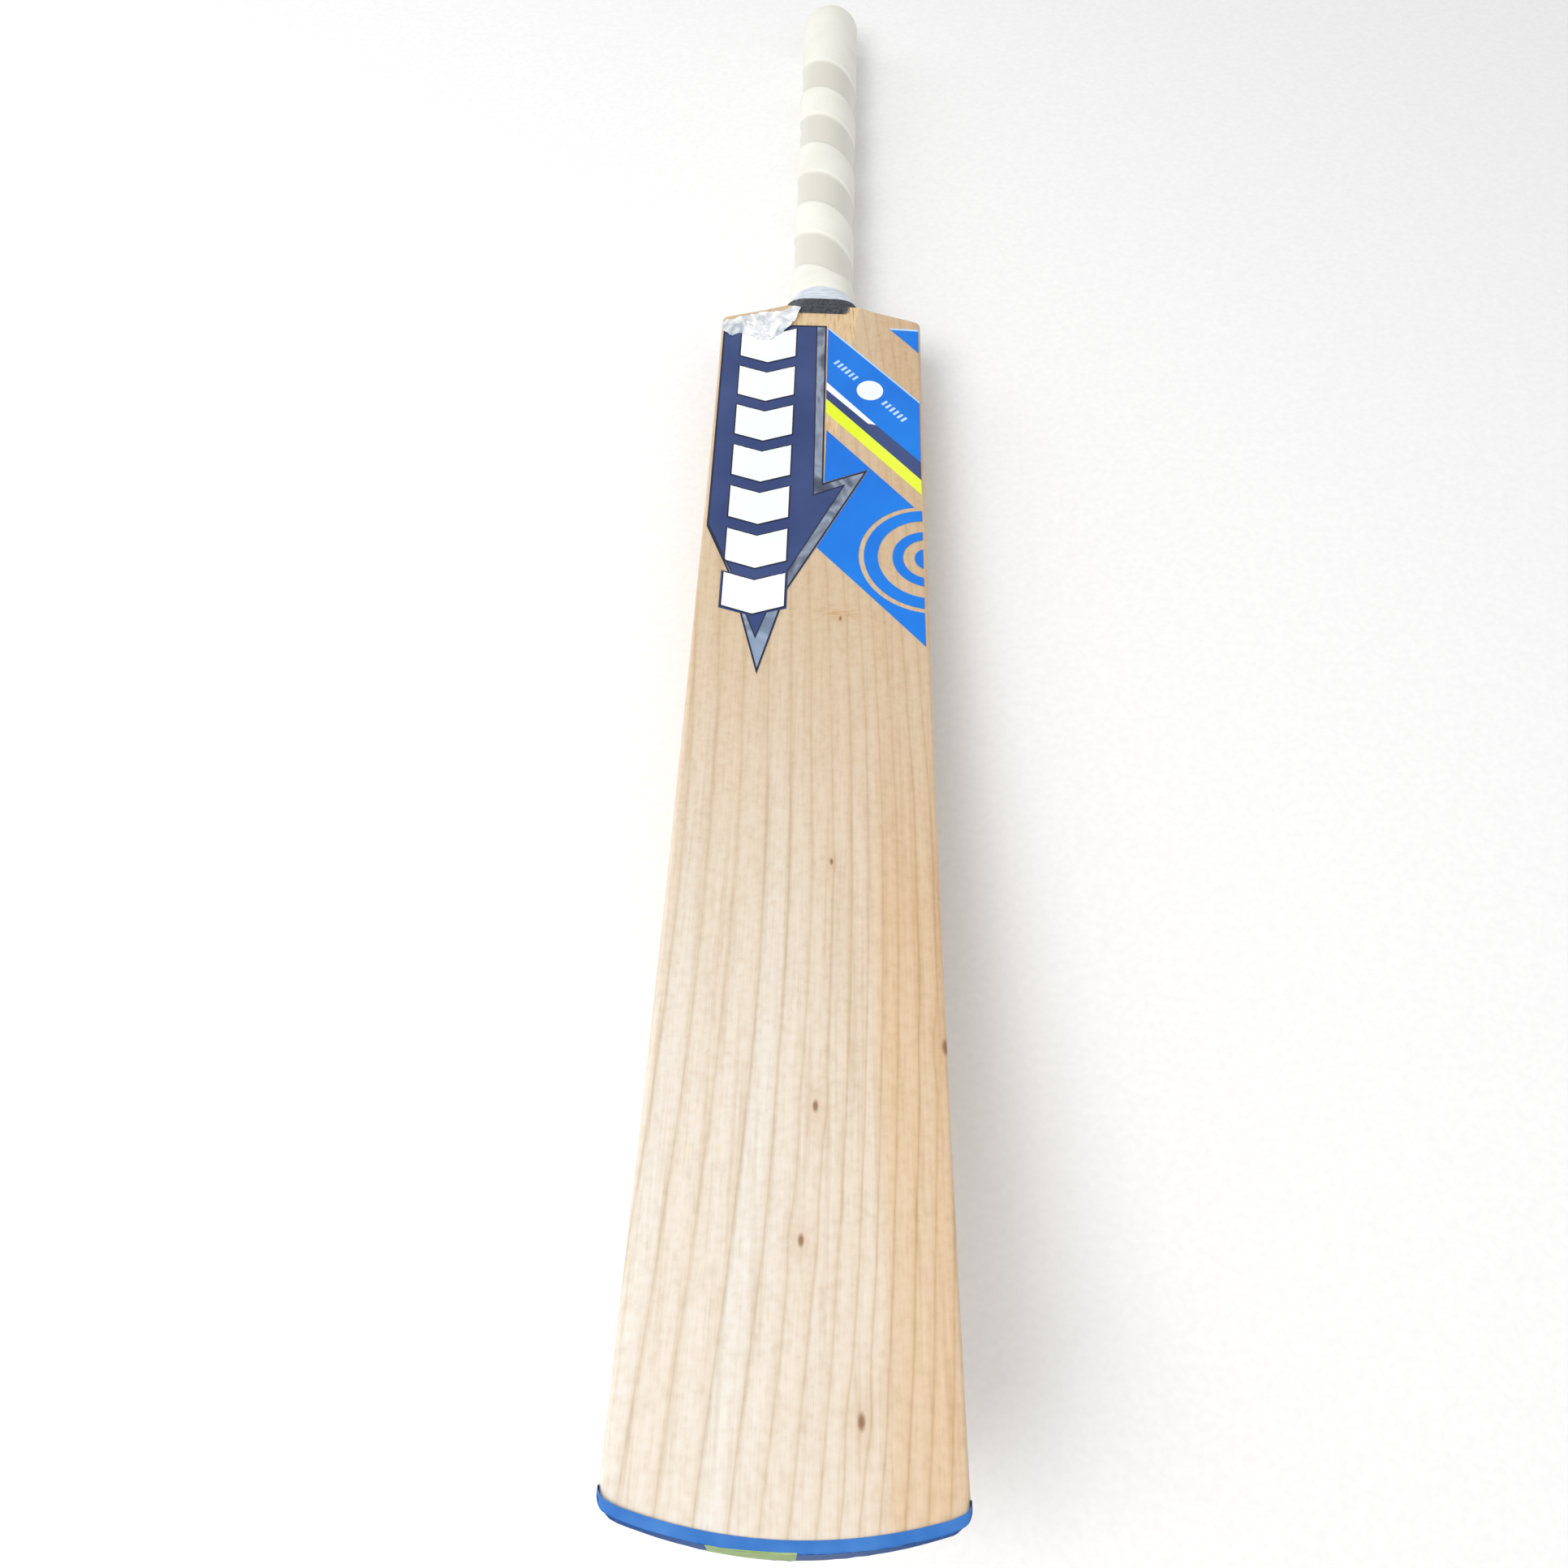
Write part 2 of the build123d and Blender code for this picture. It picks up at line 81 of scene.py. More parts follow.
MM = 0.001
CAD_BOUNDS = [list(corner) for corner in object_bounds()]
MOUNT = next(mount for mount in frame["record"]["mounts"] if mount["name"] == "handle")

# ---- The level bat, in metres ----
BLADE_LENGTH = 563.5 * MM
FACE_BOW = 16.8 * MM
FACE_CROWN = 1.2 * MM
SHOULDER_TOP = 572.5 * MM
HANDLE_DEPTH = 17.9 * MM
HANDLE_SLOPE = 4 * FACE_BOW / BLADE_LENGTH
HANDLE_TOP = 850.5 * MM
MOUNT_STATION = 735 * MM
SPLICE_TIP = 415 * MM
SPLICE_HALF_WIDTH = 20 * MM
SPLICE_TIP_HALF_WIDTH = 2 * MM
CANE_RADIUS = 14.6 * MM
BLADE_ROWS = 96  # rows of points along the blade
RING_POINTS = 96  # points round the handle

# Blade stations: distance, half width, depth of the edge, depth of the spine.
BLADE = [
    (-8.0, 54.0, 15.0, 22.0),
    (60.0, 54.0, 26.0, 40.0),
    (130.0, 54.0, 34.0, 54.0),
    (210.0, 54.0, 38.0, 62.0),
    (300.0, 54.0, 37.0, 61.0),
    (390.0, 53.8, 32.0, 53.0),
    (470.0, 53.4, 26.0, 43.0),
    (530.0, 53.1, 21.5, 36.0),
    (580.0, 52.9, 18.5, 32.3),
]

# Neck stations: distance, half width and half depth of the bare cane.
NECK = [
    (556.0, 17.0, 13.4),
    (572.0, 19.4, 15.4),
    (580.0, 17.2, 15.1),
    (590.0, 15.9, 14.8),
    (604.0, 15.0, 14.7),
    (620.0, 14.6, 14.6),
    (860.0, 14.6, 14.6),
]


def resting_place():
    """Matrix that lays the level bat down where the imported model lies, from its handle mount."""
    axis = Vector(MOUNT["axis"])
    tilt = atan2(HANDLE_SLOPE, 1) - atan2(axis.z, axis.y)
    turn = Matrix.Rotation(-tilt, 4, "X")
    height = (MOUNT_STATION - BLADE_LENGTH) * HANDLE_SLOPE - HANDLE_DEPTH
    middle = turn @ Vector((0, MOUNT_STATION, height))
    return Matrix.Translation(Vector(MOUNT["pos_m"]) - middle) @ turn


LAY = resting_place()


# ---- Shape of the blade ----
def smooth_between(rows, station):
    """Values of a table of rows at a station, on smooth curves through its rows."""
    place = [row[0] for row in rows]
    station = min(max(station, place[0]), place[-1])
    k = max(i for i in range(len(rows) - 1) if place[i] <= station)
    span = place[k + 1] - place[k]
    t = (station - place[k]) / span

    def slope(i, column):
        low, high = max(i - 1, 0), min(i + 1, len(rows) - 1)
        return (rows[high][column] - rows[low][column]) / (place[high] - place[low])

    values = []
    for column in range(1, len(rows[0])):
        start, end = rows[k][column], rows[k + 1][column]
        a, b = slope(k, column) * span, slope(k + 1, column) * span
        values.append(
            (2 * t**3 - 3 * t**2 + 1) * start + (t**3 - 2 * t**2 + t) * a
            + (3 * t**2 - 2 * t**3) * end + (t**3 - t**2) * b
        )
    return values


def face_height(station):
    """Height of the middle of the face, which is hollow along its length."""
    share = station / BLADE_LENGTH
    return -4 * FACE_BOW * share * (1 - share)


def face_point(across, station, height=0.0):
    """Point a height above the crowned face."""
    crown = FACE_CROWN * (across / (54 * MM)) ** 2
    return Vector((across, station, face_height(station) - crown + height))


def arc(centre, radius, start, end, steps):
    """Points of an arc, with its angles in degrees."""
    turns = [radians(start + (end - start) * i / steps) for i in range(steps + 1)]
    return [(centre[0] + radius * cos(t), centre[1] + radius * sin(t)) for t in turns]


def blade_section(station):
    """Closed loop of the blade at a station, from its left edge over the face and the back."""
    half_width, edge, spine = [v * MM for v in smooth_between(BLADE, station / MM)]
    face_corner, back_corner = 2.2 * MM, 7 * MM
    ridge_half = 13 * MM
    side = -FACE_CROWN
    flat = half_width - face_corner
    points = arc((-flat, side - face_corner), face_corner, 180, 96, 5)
    for i in range(1, 24):
        across = -flat + 2 * flat * i / 24
        points.append((across, -FACE_CROWN * (across / half_width) ** 2))
    points += arc((flat, side - face_corner), face_corner, 84, 0, 5)
    low = half_width - back_corner
    wall_top, wall_bottom = side - face_corner, -edge + back_corner
    for i in range(1, 6):
        points.append((half_width, wall_top + (wall_bottom - wall_top) * i / 6))
    points += arc((low, -edge + back_corner), back_corner, 0, -72, 7)
    brow = -spine + 0.28 * (spine - edge)
    start, end = points[-1], (ridge_half, brow)
    for i in range(1, 12):
        t = i / 12
        hollow = 0.07 * (spine - edge) * sin(pi * t)
        points.append(
            (start[0] + (end[0] - start[0]) * t, start[1] + (end[1] - start[1]) * t + hollow)
        )
    for i in range(0, 13):
        across = ridge_half * (1 - 2 * i / 12)
        points.append((across, -spine + (brow + spine) * (abs(across) / ridge_half) ** 1.8))
    right_side = points[6 + 23 + 6 + 5:-13]
    points += [(-across, depth) for across, depth in reversed(right_side)]
    points += [(-half_width, wall_bottom + (wall_top - wall_bottom) * i / 6) for i in range(1, 6)]
    base = face_height(station)
    return [Vector((across, station, base + depth)) for across, depth in points]


def toe_drop(across, radius=172 * MM, corner=6 * MM):
    """Station of the toe's outline at a place across the blade, with its rounded corners."""
    across = abs(across)
    edge = 54.05 * MM
    centre = edge - corner
    rise = radius - sqrt(radius**2 - min(across, centre + 0.3 * corner) ** 2)
    if across <= centre + 0.3 * corner:
        return rise
    inner = 0.3 * corner
    reach = min(across - centre, corner)
    return rise + sqrt(corner**2 - inner**2) - sqrt(max(corner**2 - reach**2, 0))


def shoulder_station(across):
    """Station of the shoulders' outline: a hollow slope out of the neck, then a rounded corner."""
    across = abs(across)
    neck, slope_end, corner = 20 * MM, 48.5 * MM, 4.6 * MM
    slope_low = 564.4 * MM
    if across <= neck:
        return SHOULDER_TOP - 2.2 * MM * (1 - (across / neck) ** 2)
    if across <= slope_end:
        t = (across - neck) / (slope_end - neck)
        return SHOULDER_TOP + (slope_low - SHOULDER_TOP) * t ** 0.8
    reach = min(across - slope_end, corner)
    return slope_low - corner + sqrt(max(corner**2 - reach**2, 0))


# ---- Making pieces ----
def finish_piece(name, mesh, material, sharp, nodes=()):
    """Puts a mesh drawn on the level bat into the scene as one of the bat's pieces.

    It is smooth, except along edges sharper than an angle in degrees.
    """
    if not mesh.polygons:
        raise RuntimeError(f"{name} has no faces")
    mesh.materials.append(material)
    mesh.transform(LAY)
    mesh.polygons.foreach_set("use_smooth", [True] * len(mesh.polygons))
    mesh.set_sharp_from_angle(angle=radians(sharp))
    piece = bpy.data.objects.new(name, mesh)
    bpy.context.collection.objects.link(piece)
    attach(piece, "root")
    if nodes:
        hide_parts(*nodes)
    return piece


def end_faces(loop, start):
    """Faces that close a bent loop, laid across it from its face side to its back."""
    order = sorted(range(len(loop)), key=lambda i: (loop[i].x, -loop[i].z))
    left, right = order[0], max(range(len(loop)), key=lambda i: (loop[i].x, loop[i].z))
    count = len(loop)
    front = [(left + i) % count for i in range((right - left) % count + 1)]
    back = [(left - i) % count for i in range((left - right) % count + 1)]
    faces, i, j = [], 0, 0
    while i < len(front) - 1 or j < len(back) - 1:
        if j == len(back) - 1:
            step_front = True
        elif i == len(front) - 1:
            step_front = False
        else:
            step_front = loop[front[i + 1]].x <= loop[back[j + 1]].x
        if step_front:
            face = (front[i], front[i + 1], back[j])
            i += 1
        else:
            face = (front[i], back[j + 1], back[j])
            j += 1
        if len(set(face)) == 3:
            faces.append(tuple(start + k for k in face))
    return faces


def loops_mesh(name, loops, bent=False):
    """Mesh skinned over closed loops of equally many points, with its ends closed."""
    count = len(loops[0])
    vertices = [point for loop in loops for point in loop]
    faces = []
    for row in range(len(loops) - 1):
        for i in range(count):
            j = (i + 1) % count
            low, high = row * count, (row + 1) * count
            faces.append((low + i, low + j, high + j, high + i))
    last = (len(loops) - 1) * count
    if bent:
        faces += end_faces(loops[0], 0) + end_faces(loops[-1], last)
    else:
        faces += [tuple(range(count)), tuple(range(last, last + count))]
    mesh = bpy.data.meshes.new(name)
    mesh.from_pydata([tuple(v) for v in vertices], [], faces)
    mesh.update()
    tidy = bmesh.new()
    tidy.from_mesh(mesh)
    bmesh.ops.recalc_face_normals(tidy, faces=tidy.faces)
    tidy.to_mesh(mesh)
    tidy.free()
    return mesh


def cut_mesh(mesh, cutter, operation):
    """Mesh after a boolean with a cutter mesh."""
    whole = bpy.data.objects.new("whole", mesh)
    tool = bpy.data.objects.new("tool", cutter)
    for thing in (whole, tool):
        bpy.context.collection.objects.link(thing)
    modifier = whole.modifiers.new("cut", "BOOLEAN")
    modifier.operation = operation
    modifier.solver = "EXACT"
    modifier.object = tool
    bpy.context.view_layer.update()
    depsgraph = bpy.context.evaluated_depsgraph_get()
    result = bpy.data.meshes.new_from_object(whole.evaluated_get(depsgraph))
    result.name = mesh.name
    for thing in (whole, tool):
        bpy.data.objects.remove(thing)
    return result


# ---- Making materials ----
def linear(hex_colour):
    """Linear colour of an sRGB hex value."""
    parts = [int(hex_colour.lstrip("#")[i : i + 2], 16) / 255 for i in (0, 2, 4)]
    return (*[c / 12.92 if c <= 0.04045 else ((c + 0.055) / 1.055) ** 2.4 for c in parts], 1.0)


def node(tree, kind, inputs=(), output=0, stops=(), **settings):
    """Adds a shader node with its settings and links, and gives one of its outputs.

    A kind may be followed by its operation. Inputs are values or other nodes' outputs, in order or
    by name. Stops are a ramp's colours or a curve's points, each after its place.
    """
    kind, _, operation = kind.partition(" ")
    made = tree.nodes.new("ShaderNode" + kind)
    if operation:
        made.operation = operation
    if kind == "Mix":
        made.data_type, output = "RGBA", "Result"
    for name, value in settings.items():
        setattr(made, name, value)
    for name, value in inputs.items() if isinstance(inputs, dict) else enumerate(inputs):
        if isinstance(value, bpy.types.NodeSocket):
            tree.links.new(value, made.inputs[name])
        else:
            made.inputs[name].default_value = value
    if kind == "ValToRGB":
        row = made.color_ramp.elements
        for place, colour in stops[1:-1]:
            row.new(place).color = linear(colour)
        for element, (place, colour) in ((row[0], stops[0]), (row[-1], stops[-1])):
            element.position, element.color = place, linear(colour)
    elif kind == "FloatCurve":
        row = made.mapping.curves[0].points
        row[0].location, row[-1].location = stops[0], stops[-1]
        for stop in stops[1:-1]:
            row.new(*stop)
        for point in row:
            point.handle_type = "VECTOR"
        made.mapping.update()
    return made.outputs[output]


def new_material(
    name, roughness, ior=1.5, metallic=0.0, coat=0.0, coat_roughness=0.1, specular=0.5
):
    """Material with one Principled shader, and its tree and level coordinates."""
    material = bpy.data.materials.new(name)
    material.use_nodes = True
    tree = material.node_tree
    for socket, value in {
        "Roughness": roughness, "IOR": ior, "Metallic": metallic, "Coat Weight": coat,
        "Coat Roughness": coat_roughness, "Specular IOR Level": specular,
    }.items():
        tree.nodes["Principled BSDF"].inputs[socket].default_value = value
    laid = node(tree, "TexCoord", output="Object")
    level = LAY.inverted()
    place = node(
        tree, "Mapping",
        {"Vector": laid, "Location": level.to_translation(), "Rotation": level.to_euler()},
    )
    return material, tree, place


def wire(material, relief=None, depth=0.0, **outputs):
    """Links outputs to the shader's sockets by name, and a relief as bump, its depth in metres."""
    tree = material.node_tree
    if relief:
        height = node(tree, "Math MULTIPLY", [relief, depth])
        outputs["normal"] = node(tree, "Bump", {"Height": height, "Distance": 1.0})
    for name, value in outputs.items():
        socket = name.replace("_", " ").title()
        tree.links.new(value, tree.nodes["Principled BSDF"].inputs[socket])
    return material


# Knots of the willow: across, station and radius of the dark heart, in millimetres.
KNOTS = [
    (6.6, 132.3, 1.3),
    (2.8, 85.4, 1.3),
    (22.3, 32.0, 1.5),
    (53.2, 157.3, 1.8),
    (10.9, 234.7, 0.9),
    (13.0, 363.4, 0.8),
]

# Growth lines of the willow across the toe, in millimetres.
GROWTH_LINES = [
    -70.0, -59.5, -48.9, -37.9, -26.1, -16.0, -7.1, 1.1, 8.9, 15.4, 20.9, 26.4, 33.9, 40.4, 46.5,
    53.0, 60.0, 70.0,
]


def willow():
    """Cleft willow, planed, sanded, oiled and waxed: pale and satin, with straight growth lines.

    The heartwood side is tanned, fine fibres run along the grain and the wax glints.
    """
    wood = bpy.context.scene.bat_wood
    material, tree, place = new_material("willow_oiled", 0.4, coat=0.12, coat_roughness=0.25)
    across = node(tree, "SeparateXYZ", [place], "X")
    station = node(tree, "SeparateXYZ", [place], "Y")

    # growth lines bow along the blade, lean through its depth and wander slowly
    squared = node(tree, "Math MULTIPLY", [station, station])
    straight = node(tree, "VectorMath DOT_PRODUCT", [place, (1.0, -0.051, 0.3)], "Value")
    bowed = node(tree, "Math MULTIPLY_ADD", [squared, 0.1265, straight])
    slow = node(tree, "VectorMath MULTIPLY", [place, (22, 6, 22)])
    wander = node(tree, "TexNoise", {"Vector": slow, "Scale": 1.0, "Detail": 2.0})
    wander = node(tree, "Math SUBTRACT", [wander, 0.5])
    ring_place = node(tree, "Math MULTIPLY_ADD", [wander, 4 * MM, bowed])
    knot_heart, knot_halo = 0.0, 0.0
    for knot_across, knot_station, radius in KNOTS:
        middle = face_point(knot_across * MM, knot_station * MM)
        offset = node(tree, "VectorMath SUBTRACT", [place, tuple(middle)])
        oval = node(tree, "VectorMath MULTIPLY", [offset, (1.0, 0.45, 0.3)])
        near = node(tree, "VectorMath LENGTH", [oval], "Value")
        share = node(tree, "Math DIVIDE", [near, radius * 3.2 * MM])
        share = node(tree, "Math MULTIPLY", [share, share])
        share = node(tree, "Math MULTIPLY", [share, -1.0])
        halo = node(tree, "Math EXPONENT", [share])
        side = node(tree, "SeparateXYZ", [offset], "X")
        push = node(tree, "Math MULTIPLY", [side, halo])
        ring_place = node(tree, "Math MULTIPLY_ADD", [push, -0.6, ring_place])
        knot_halo = node(tree, "Math MAXIMUM", [halo, knot_halo])
        core = node(
            tree, "MapRange", {"Value": near, "From Min": 0.4 * radius * MM,
                               "From Max": radius * MM, "To Min": 1.0, "To Max": 0.0},
        )
        knot_heart = node(tree, "Math MAXIMUM", [core, knot_heart])

    low, high = GROWTH_LINES[0], GROWTH_LINES[-1]
    count = len(GROWTH_LINES) - 1
    position = node(
        tree, "MapRange", {"Value": ring_place, "From Min": low * MM, "From Max": high * MM}
    )
    stops = [((x - low) / (high - low), i / count) for i, x in enumerate(GROWTH_LINES)]
    number = node(tree, "FloatCurve", {"Factor": 1.0, "Value": position}, stops=stops)
    number = node(tree, "Math MULTIPLY", [number, float(count)])
    within = node(tree, "Math FRACT", [number])
    colour = node(
        tree, "ValToRGB", [within], stops=[
            (0.0, "#D0C1AC"), (0.05, "#DACEBE"), (0.14, "#E7E0D5"), (0.5, "#ECE6DD"),
            (0.85, "#E8DFD3"), (0.96, "#DFD4C3"), (1.0, "#D0C1AC"),
        ],
    )
    # each year's growth has its own tone, with finer lines in some of them
    year = node(tree, "Math FLOOR", [number])
    tone = node(tree, "TexWhiteNoise", {"W": year}, noise_dimensions="1D")
    tone = node(tree, "Math MULTIPLY", [tone, 0.42])
    streaky = node(tree, "VectorMath MULTIPLY", [place, (420, 7, 120)])
    streak = node(tree, "TexNoise", {"Vector": streaky, "Scale": 1.0, "Detail": 3.0})
    streak = node(
        tree, "ValToRGB", [streak], stops=[(0.3, "#E6DACA"), (0.48, "#FFFFFF"), (0.7, "#FFFFFF")]
    )

    # the heartwood side is tanned, most beyond a step in it, and the blade grows darker and more
    # tan towards the shoulders
    edge = node(tree, "Math MULTIPLY_ADD", [wander, 0.02, across])
    tan = node(
        tree, "MapRange", {"Value": edge, "From Min": wood.heartwood, "From Max": 50 * MM,
                           "To Max": 0.32}, interpolation_type="SMOOTHSTEP",
    )
    step = node(
        tree, "MapRange", {"Value": edge, "From Min": 25 * MM, "From Max": 31 * MM, "To Max": 0.42}
    )
    tan = node(tree, "Math ADD", [tan, step])
    fading = node(
        tree, "MapRange", {"Value": station, "From Min": 210 * MM, "From Max": 320 * MM,
                           "To Min": 1.0, "To Max": 0.3},
    )
    high_up = node(
        tree, "MapRange", {"Value": station, "From Min": 90 * MM, "From Max": 430 * MM,
                           "To Max": 0.9}, interpolation_type="SMOOTHSTEP",
    )
    softer = node(tree, "Math MULTIPLY", [high_up, 0.5])
    tan = node(tree, "Math MULTIPLY", [tan, fading])

    # fibres and flecks, each about a millimetre wide
    fine = node(tree, "VectorMath MULTIPLY", [place, (1 / wood.fibre_width, 45, 500)])
    fibre = node(
        tree, "TexNoise", {"Vector": fine, "Scale": 1.0, "Detail": 4.0, "Roughness": 0.65}
    )
    fleck = node(tree, "TexNoise", {"Vector": place, "Scale": 330.0, "Detail": 3.0})
    grain = node(tree, "Math ADD", [fibre, fleck])
    grain = node(
        tree, "ValToRGB", [node(tree, "Math MULTIPLY", [grain, 0.5])],
        stops=[(0.34, "#E4DACB"), (0.5, "#F8F4EE"), (0.62, "#FFFFFF")],
    )

    # a feathery figure crosses the grain below the labels
    middle = face_height(367 * MM)
    around = node(tree, "VectorMath SUBTRACT", [place, (13 * MM, 367 * MM, middle)])
    around = node(tree, "VectorMath MULTIPLY", [around, (75, 150, 30)])
    around = node(tree, "VectorMath LENGTH", [around], "Value")
    patch = node(
        tree, "MapRange", {"Value": around, "From Min": 0.2, "From Max": 1.2, "To Min": 1.0,
                           "To Max": 0.0}, interpolation_type="SMOOTHSTEP",
    )
    ripple = node(tree, "VectorMath MULTIPLY", [place, (110, 420, 100)])
    ripple = node(
        tree, "TexNoise", {"Vector": ripple, "Scale": 1.0, "Detail": 3.0, "Distortion": 1.0}
    )
    ripple = node(tree, "MapRange", {"Value": ripple, "From Min": 0.45, "From Max": 0.72})
    figure = node(tree, "Math MULTIPLY", [patch, ripple])
    shade = node(tree, "Math MULTIPLY_ADD", [knot_halo, 0.3, figure], use_clamp=True)
    shade = node(tree, "Math MULTIPLY", [shade, 0.75])
    heart = node(tree, "Math MULTIPLY", [knot_heart, 0.8])
    for share, layer, blend in (
        (tone, linear("#E6D6C1"), "MIX"),
        (0.5, streak, "MULTIPLY"),
        (softer, linear("#E3D9CB"), "MIX"),
        (high_up, linear("#ECD9BE"), "MULTIPLY"),
        (tan, linear("#F3D6AF"), "MULTIPLY"),
        (0.55, grain, "MULTIPLY"),
        (shade, linear("#C2965F"), "MIX"),
        (heart, linear("#80532F"), "MIX"),
    ):
        colour = node(tree, "Mix", {"Factor": share, "A": colour, "B": layer}, blend_type=blend)
    rough = node(tree, "Math MULTIPLY_ADD", [fleck, 0.35, 0.2])
    return wire(material, grain, 0.05 * MM, base_color=colour, roughness=rough)


def cane():
    """Sarawak cane, split, glued and planed: straw-coloured billets with fine dark pores."""
    material, tree, place = new_material("cane_laminated", 0.42, coat=0.12)
    fine = node(tree, "VectorMath MULTIPLY", [place, (1 / (0.9 * MM), 40, 1 / (0.9 * MM))])
    pores = node(tree, "TexNoise", {"Vector": fine, "Scale": 1.0, "Detail": 3.0})
    colour = node(
        tree, "ValToRGB", [pores], stops=[(0.3, "#B8935F"), (0.44, "#DFC196"), (0.7, "#EBD3AC")]
    )
    # each billet, 10 mm wide, has its own tone
    billet = node(tree, "VectorMath MULTIPLY", [place, (100, 0.0, 0.0)])
    billet = node(tree, "VectorMath ADD", [billet, (0.5, 0.0, 0.0)])
    billet = node(tree, "VectorMath FLOOR", [billet])
    tone = node(tree, "TexWhiteNoise", [billet], noise_dimensions="3D")
    colour = node(
        tree, "Mix", {"Factor": node(tree, "Math MULTIPLY", [tone, 0.5]),
                      "A": colour, "B": linear("#D3B081")},
    )
    return wire(material, pores, 0.08 * MM, base_color=colour)


def grip_rubber():
    """Moulded natural rubber: matt and stippled on its raised band, shinier in its groove, which
    is painted darker as painted shade in the recess.
    """
    colours = bpy.context.scene.bat_colours
    material, tree, place = new_material("grip_rubber_moulded", 0.6, ior=1.52)
    raised = node(tree, "Attribute", output="Fac", attribute_name="raised")
    stipple = node(tree, "TexVoronoi", {"Vector": place, "Scale": 1 / (1.2 * MM)})
    soil = node(tree, "TexNoise", {"Vector": place, "Scale": 55.0, "Detail": 4.0})
    # painted shade: the groove's colour is darker than the raised band's
    colour = node(
        tree, "Mix", {"Factor": raised, "A": linear(colours.groove), "B": linear(colours.grip)},
    )
    soil = node(tree, "MapRange", {"Value": soil, "From Min": 0.4, "From Max": 0.8, "To Max": 0.4})
    colour = node(tree, "Mix", {"Factor": soil, "A": colour, "B": linear("#D9D6C6")})
    rough = node(tree, "Math MULTIPLY_ADD", [raised, 0.4, 0.28])
    dots = node(tree, "Math MULTIPLY", [stipple, raised])
    return wire(material, dots, 0.14 * MM, base_color=colour, roughness=rough)


def thread(name, light, dark, roughness):
    """Waxed twisted thread, wound: each turn is smooth with a fine twist across it."""
    material, tree, place = new_material(name, roughness, coat=0.3, coat_roughness=0.25)
    twist = node(tree, "TexNoise", {"Vector": place, "Scale": 700.0, "Detail": 2.0})
    # the twist mottles the thread between its two tones; on the black whipping the light tone is
    # painted sheen
    colour = node(tree, "ValToRGB", [twist], stops=[(0.35, dark), (0.68, light)])
    return wire(material, twist, 0.12 * MM, base_color=colour)


def toe_rubber():
    """Cut rubber sheet glued to the toe: even blue on its face side, rough where cut, and painted
    dark on its other faces as painted shade.
    """
    colours = bpy.context.scene.bat_colours
    material, tree, place = new_material("toe_rubber_sheet", 0.6, ior=1.52, specular=0.2)
    cut = node(
        tree, "TexNoise", {"Vector": place, "Scale": 420.0, "Detail": 4.0, "Roughness": 0.7}
    )
    # painted shade: faces that turn away from up are picked out by their normal, with a ragged
    # edge
    facing = node(tree, "SeparateXYZ", [node(tree, "NewGeometry", output="Normal")], "Z")
    ragged = node(tree, "Math MULTIPLY_ADD", [cut, 1.4, facing])
    top = node(tree, "MapRange", {"Value": ragged, "From Min": 1.3, "From Max": 1.42})
    cloud = node(
        tree, "ValToRGB", [node(tree, "TexNoise", {"Vector": place, "Scale": 70.0})],
        stops=[(0.35, colours.toe_guard), (0.7, "#447FC8")],
    )
    # the dark blue is painted shade on the faces turned away from up
    colour = node(tree, "Mix", {"Factor": top, "A": linear("#174A8C"), "B": cloud})
    return wire(material, cut, 0.25 * MM, base_color=colour)


def plain_rubber(name, hex_colour, worn):
    """Calendered rubber sheet: even, matt, with a faint cloudiness from handling."""
    material, tree, place = new_material(name, 0.65, ior=1.52)
    cloud = node(tree, "TexNoise", {"Vector": place, "Scale": 180.0, "Detail": 4.0})
    colour = node(tree, "ValToRGB", [cloud], stops=[(0.38, hex_colour), (0.72, worn)])
    return wire(material, cloud, 0.1 * MM, base_color=colour)


def vinyl(name, hex_colour, paler):
    """Printed vinyl under a clear laminate: even, faintly clouded ink, glossy with orange peel."""
    material, tree, place = new_material(
        name, 0.3, coat=0.2, coat_roughness=0.12, specular=0.35
    )
    peel = node(tree, "TexNoise", {"Vector": place, "Scale": 420.0, "Detail": 2.0})
    cloud = node(tree, "TexNoise", {"Vector": place, "Scale": 24.0, "Detail": 3.0})
    colour = node(tree, "ValToRGB", [cloud], stops=[(0.35, hex_colour), (0.75, paler)])
    return wire(material, peel, 0.02 * MM, base_color=colour)


def silver_foil():
    """Hot-stamped foil under print: bright and dark bands run along it, palest at its point; the
    bands are painted reflections and the pale point a painted highlight.
    """
    material, tree, place = new_material("silver_foil_stamped", 0.32, metallic=0.6, coat=0.4)
    wide = node(tree, "VectorMath MULTIPLY", [place, (34, 22, 34)])
    bands = node(
        tree, "TexNoise", {"Vector": wide, "Scale": 1.0, "Detail": 3.0, "Distortion": 1.4}
    )
    # painted reflections: bright and dark bands of colour along the foil
    colour = node(
        tree, "ValToRGB", [bands], stops=[
            (0.28, "#454D60"), (0.42, "#69738A"), (0.53, "#AEBBCE"), (0.62, "#7C889F"),
            (0.75, "#4D576B"),
        ],
    )
    # painted highlight: the foil pales towards its point
    point = node(
        tree, "MapRange", {"Value": node(tree, "SeparateXYZ", [place], "Y"),
                           "From Min": 335 * MM, "From Max": 385 * MM, "To Min": 0.75,
                           "To Max": 0.0},
    )
    colour = node(tree, "Mix", {"Factor": point, "A": colour, "B": linear("#B4CDEE")})
    grain = node(tree, "TexNoise", {"Vector": place, "Scale": 800.0})
    return wire(material, grain, 0.02 * MM, base_color=colour)


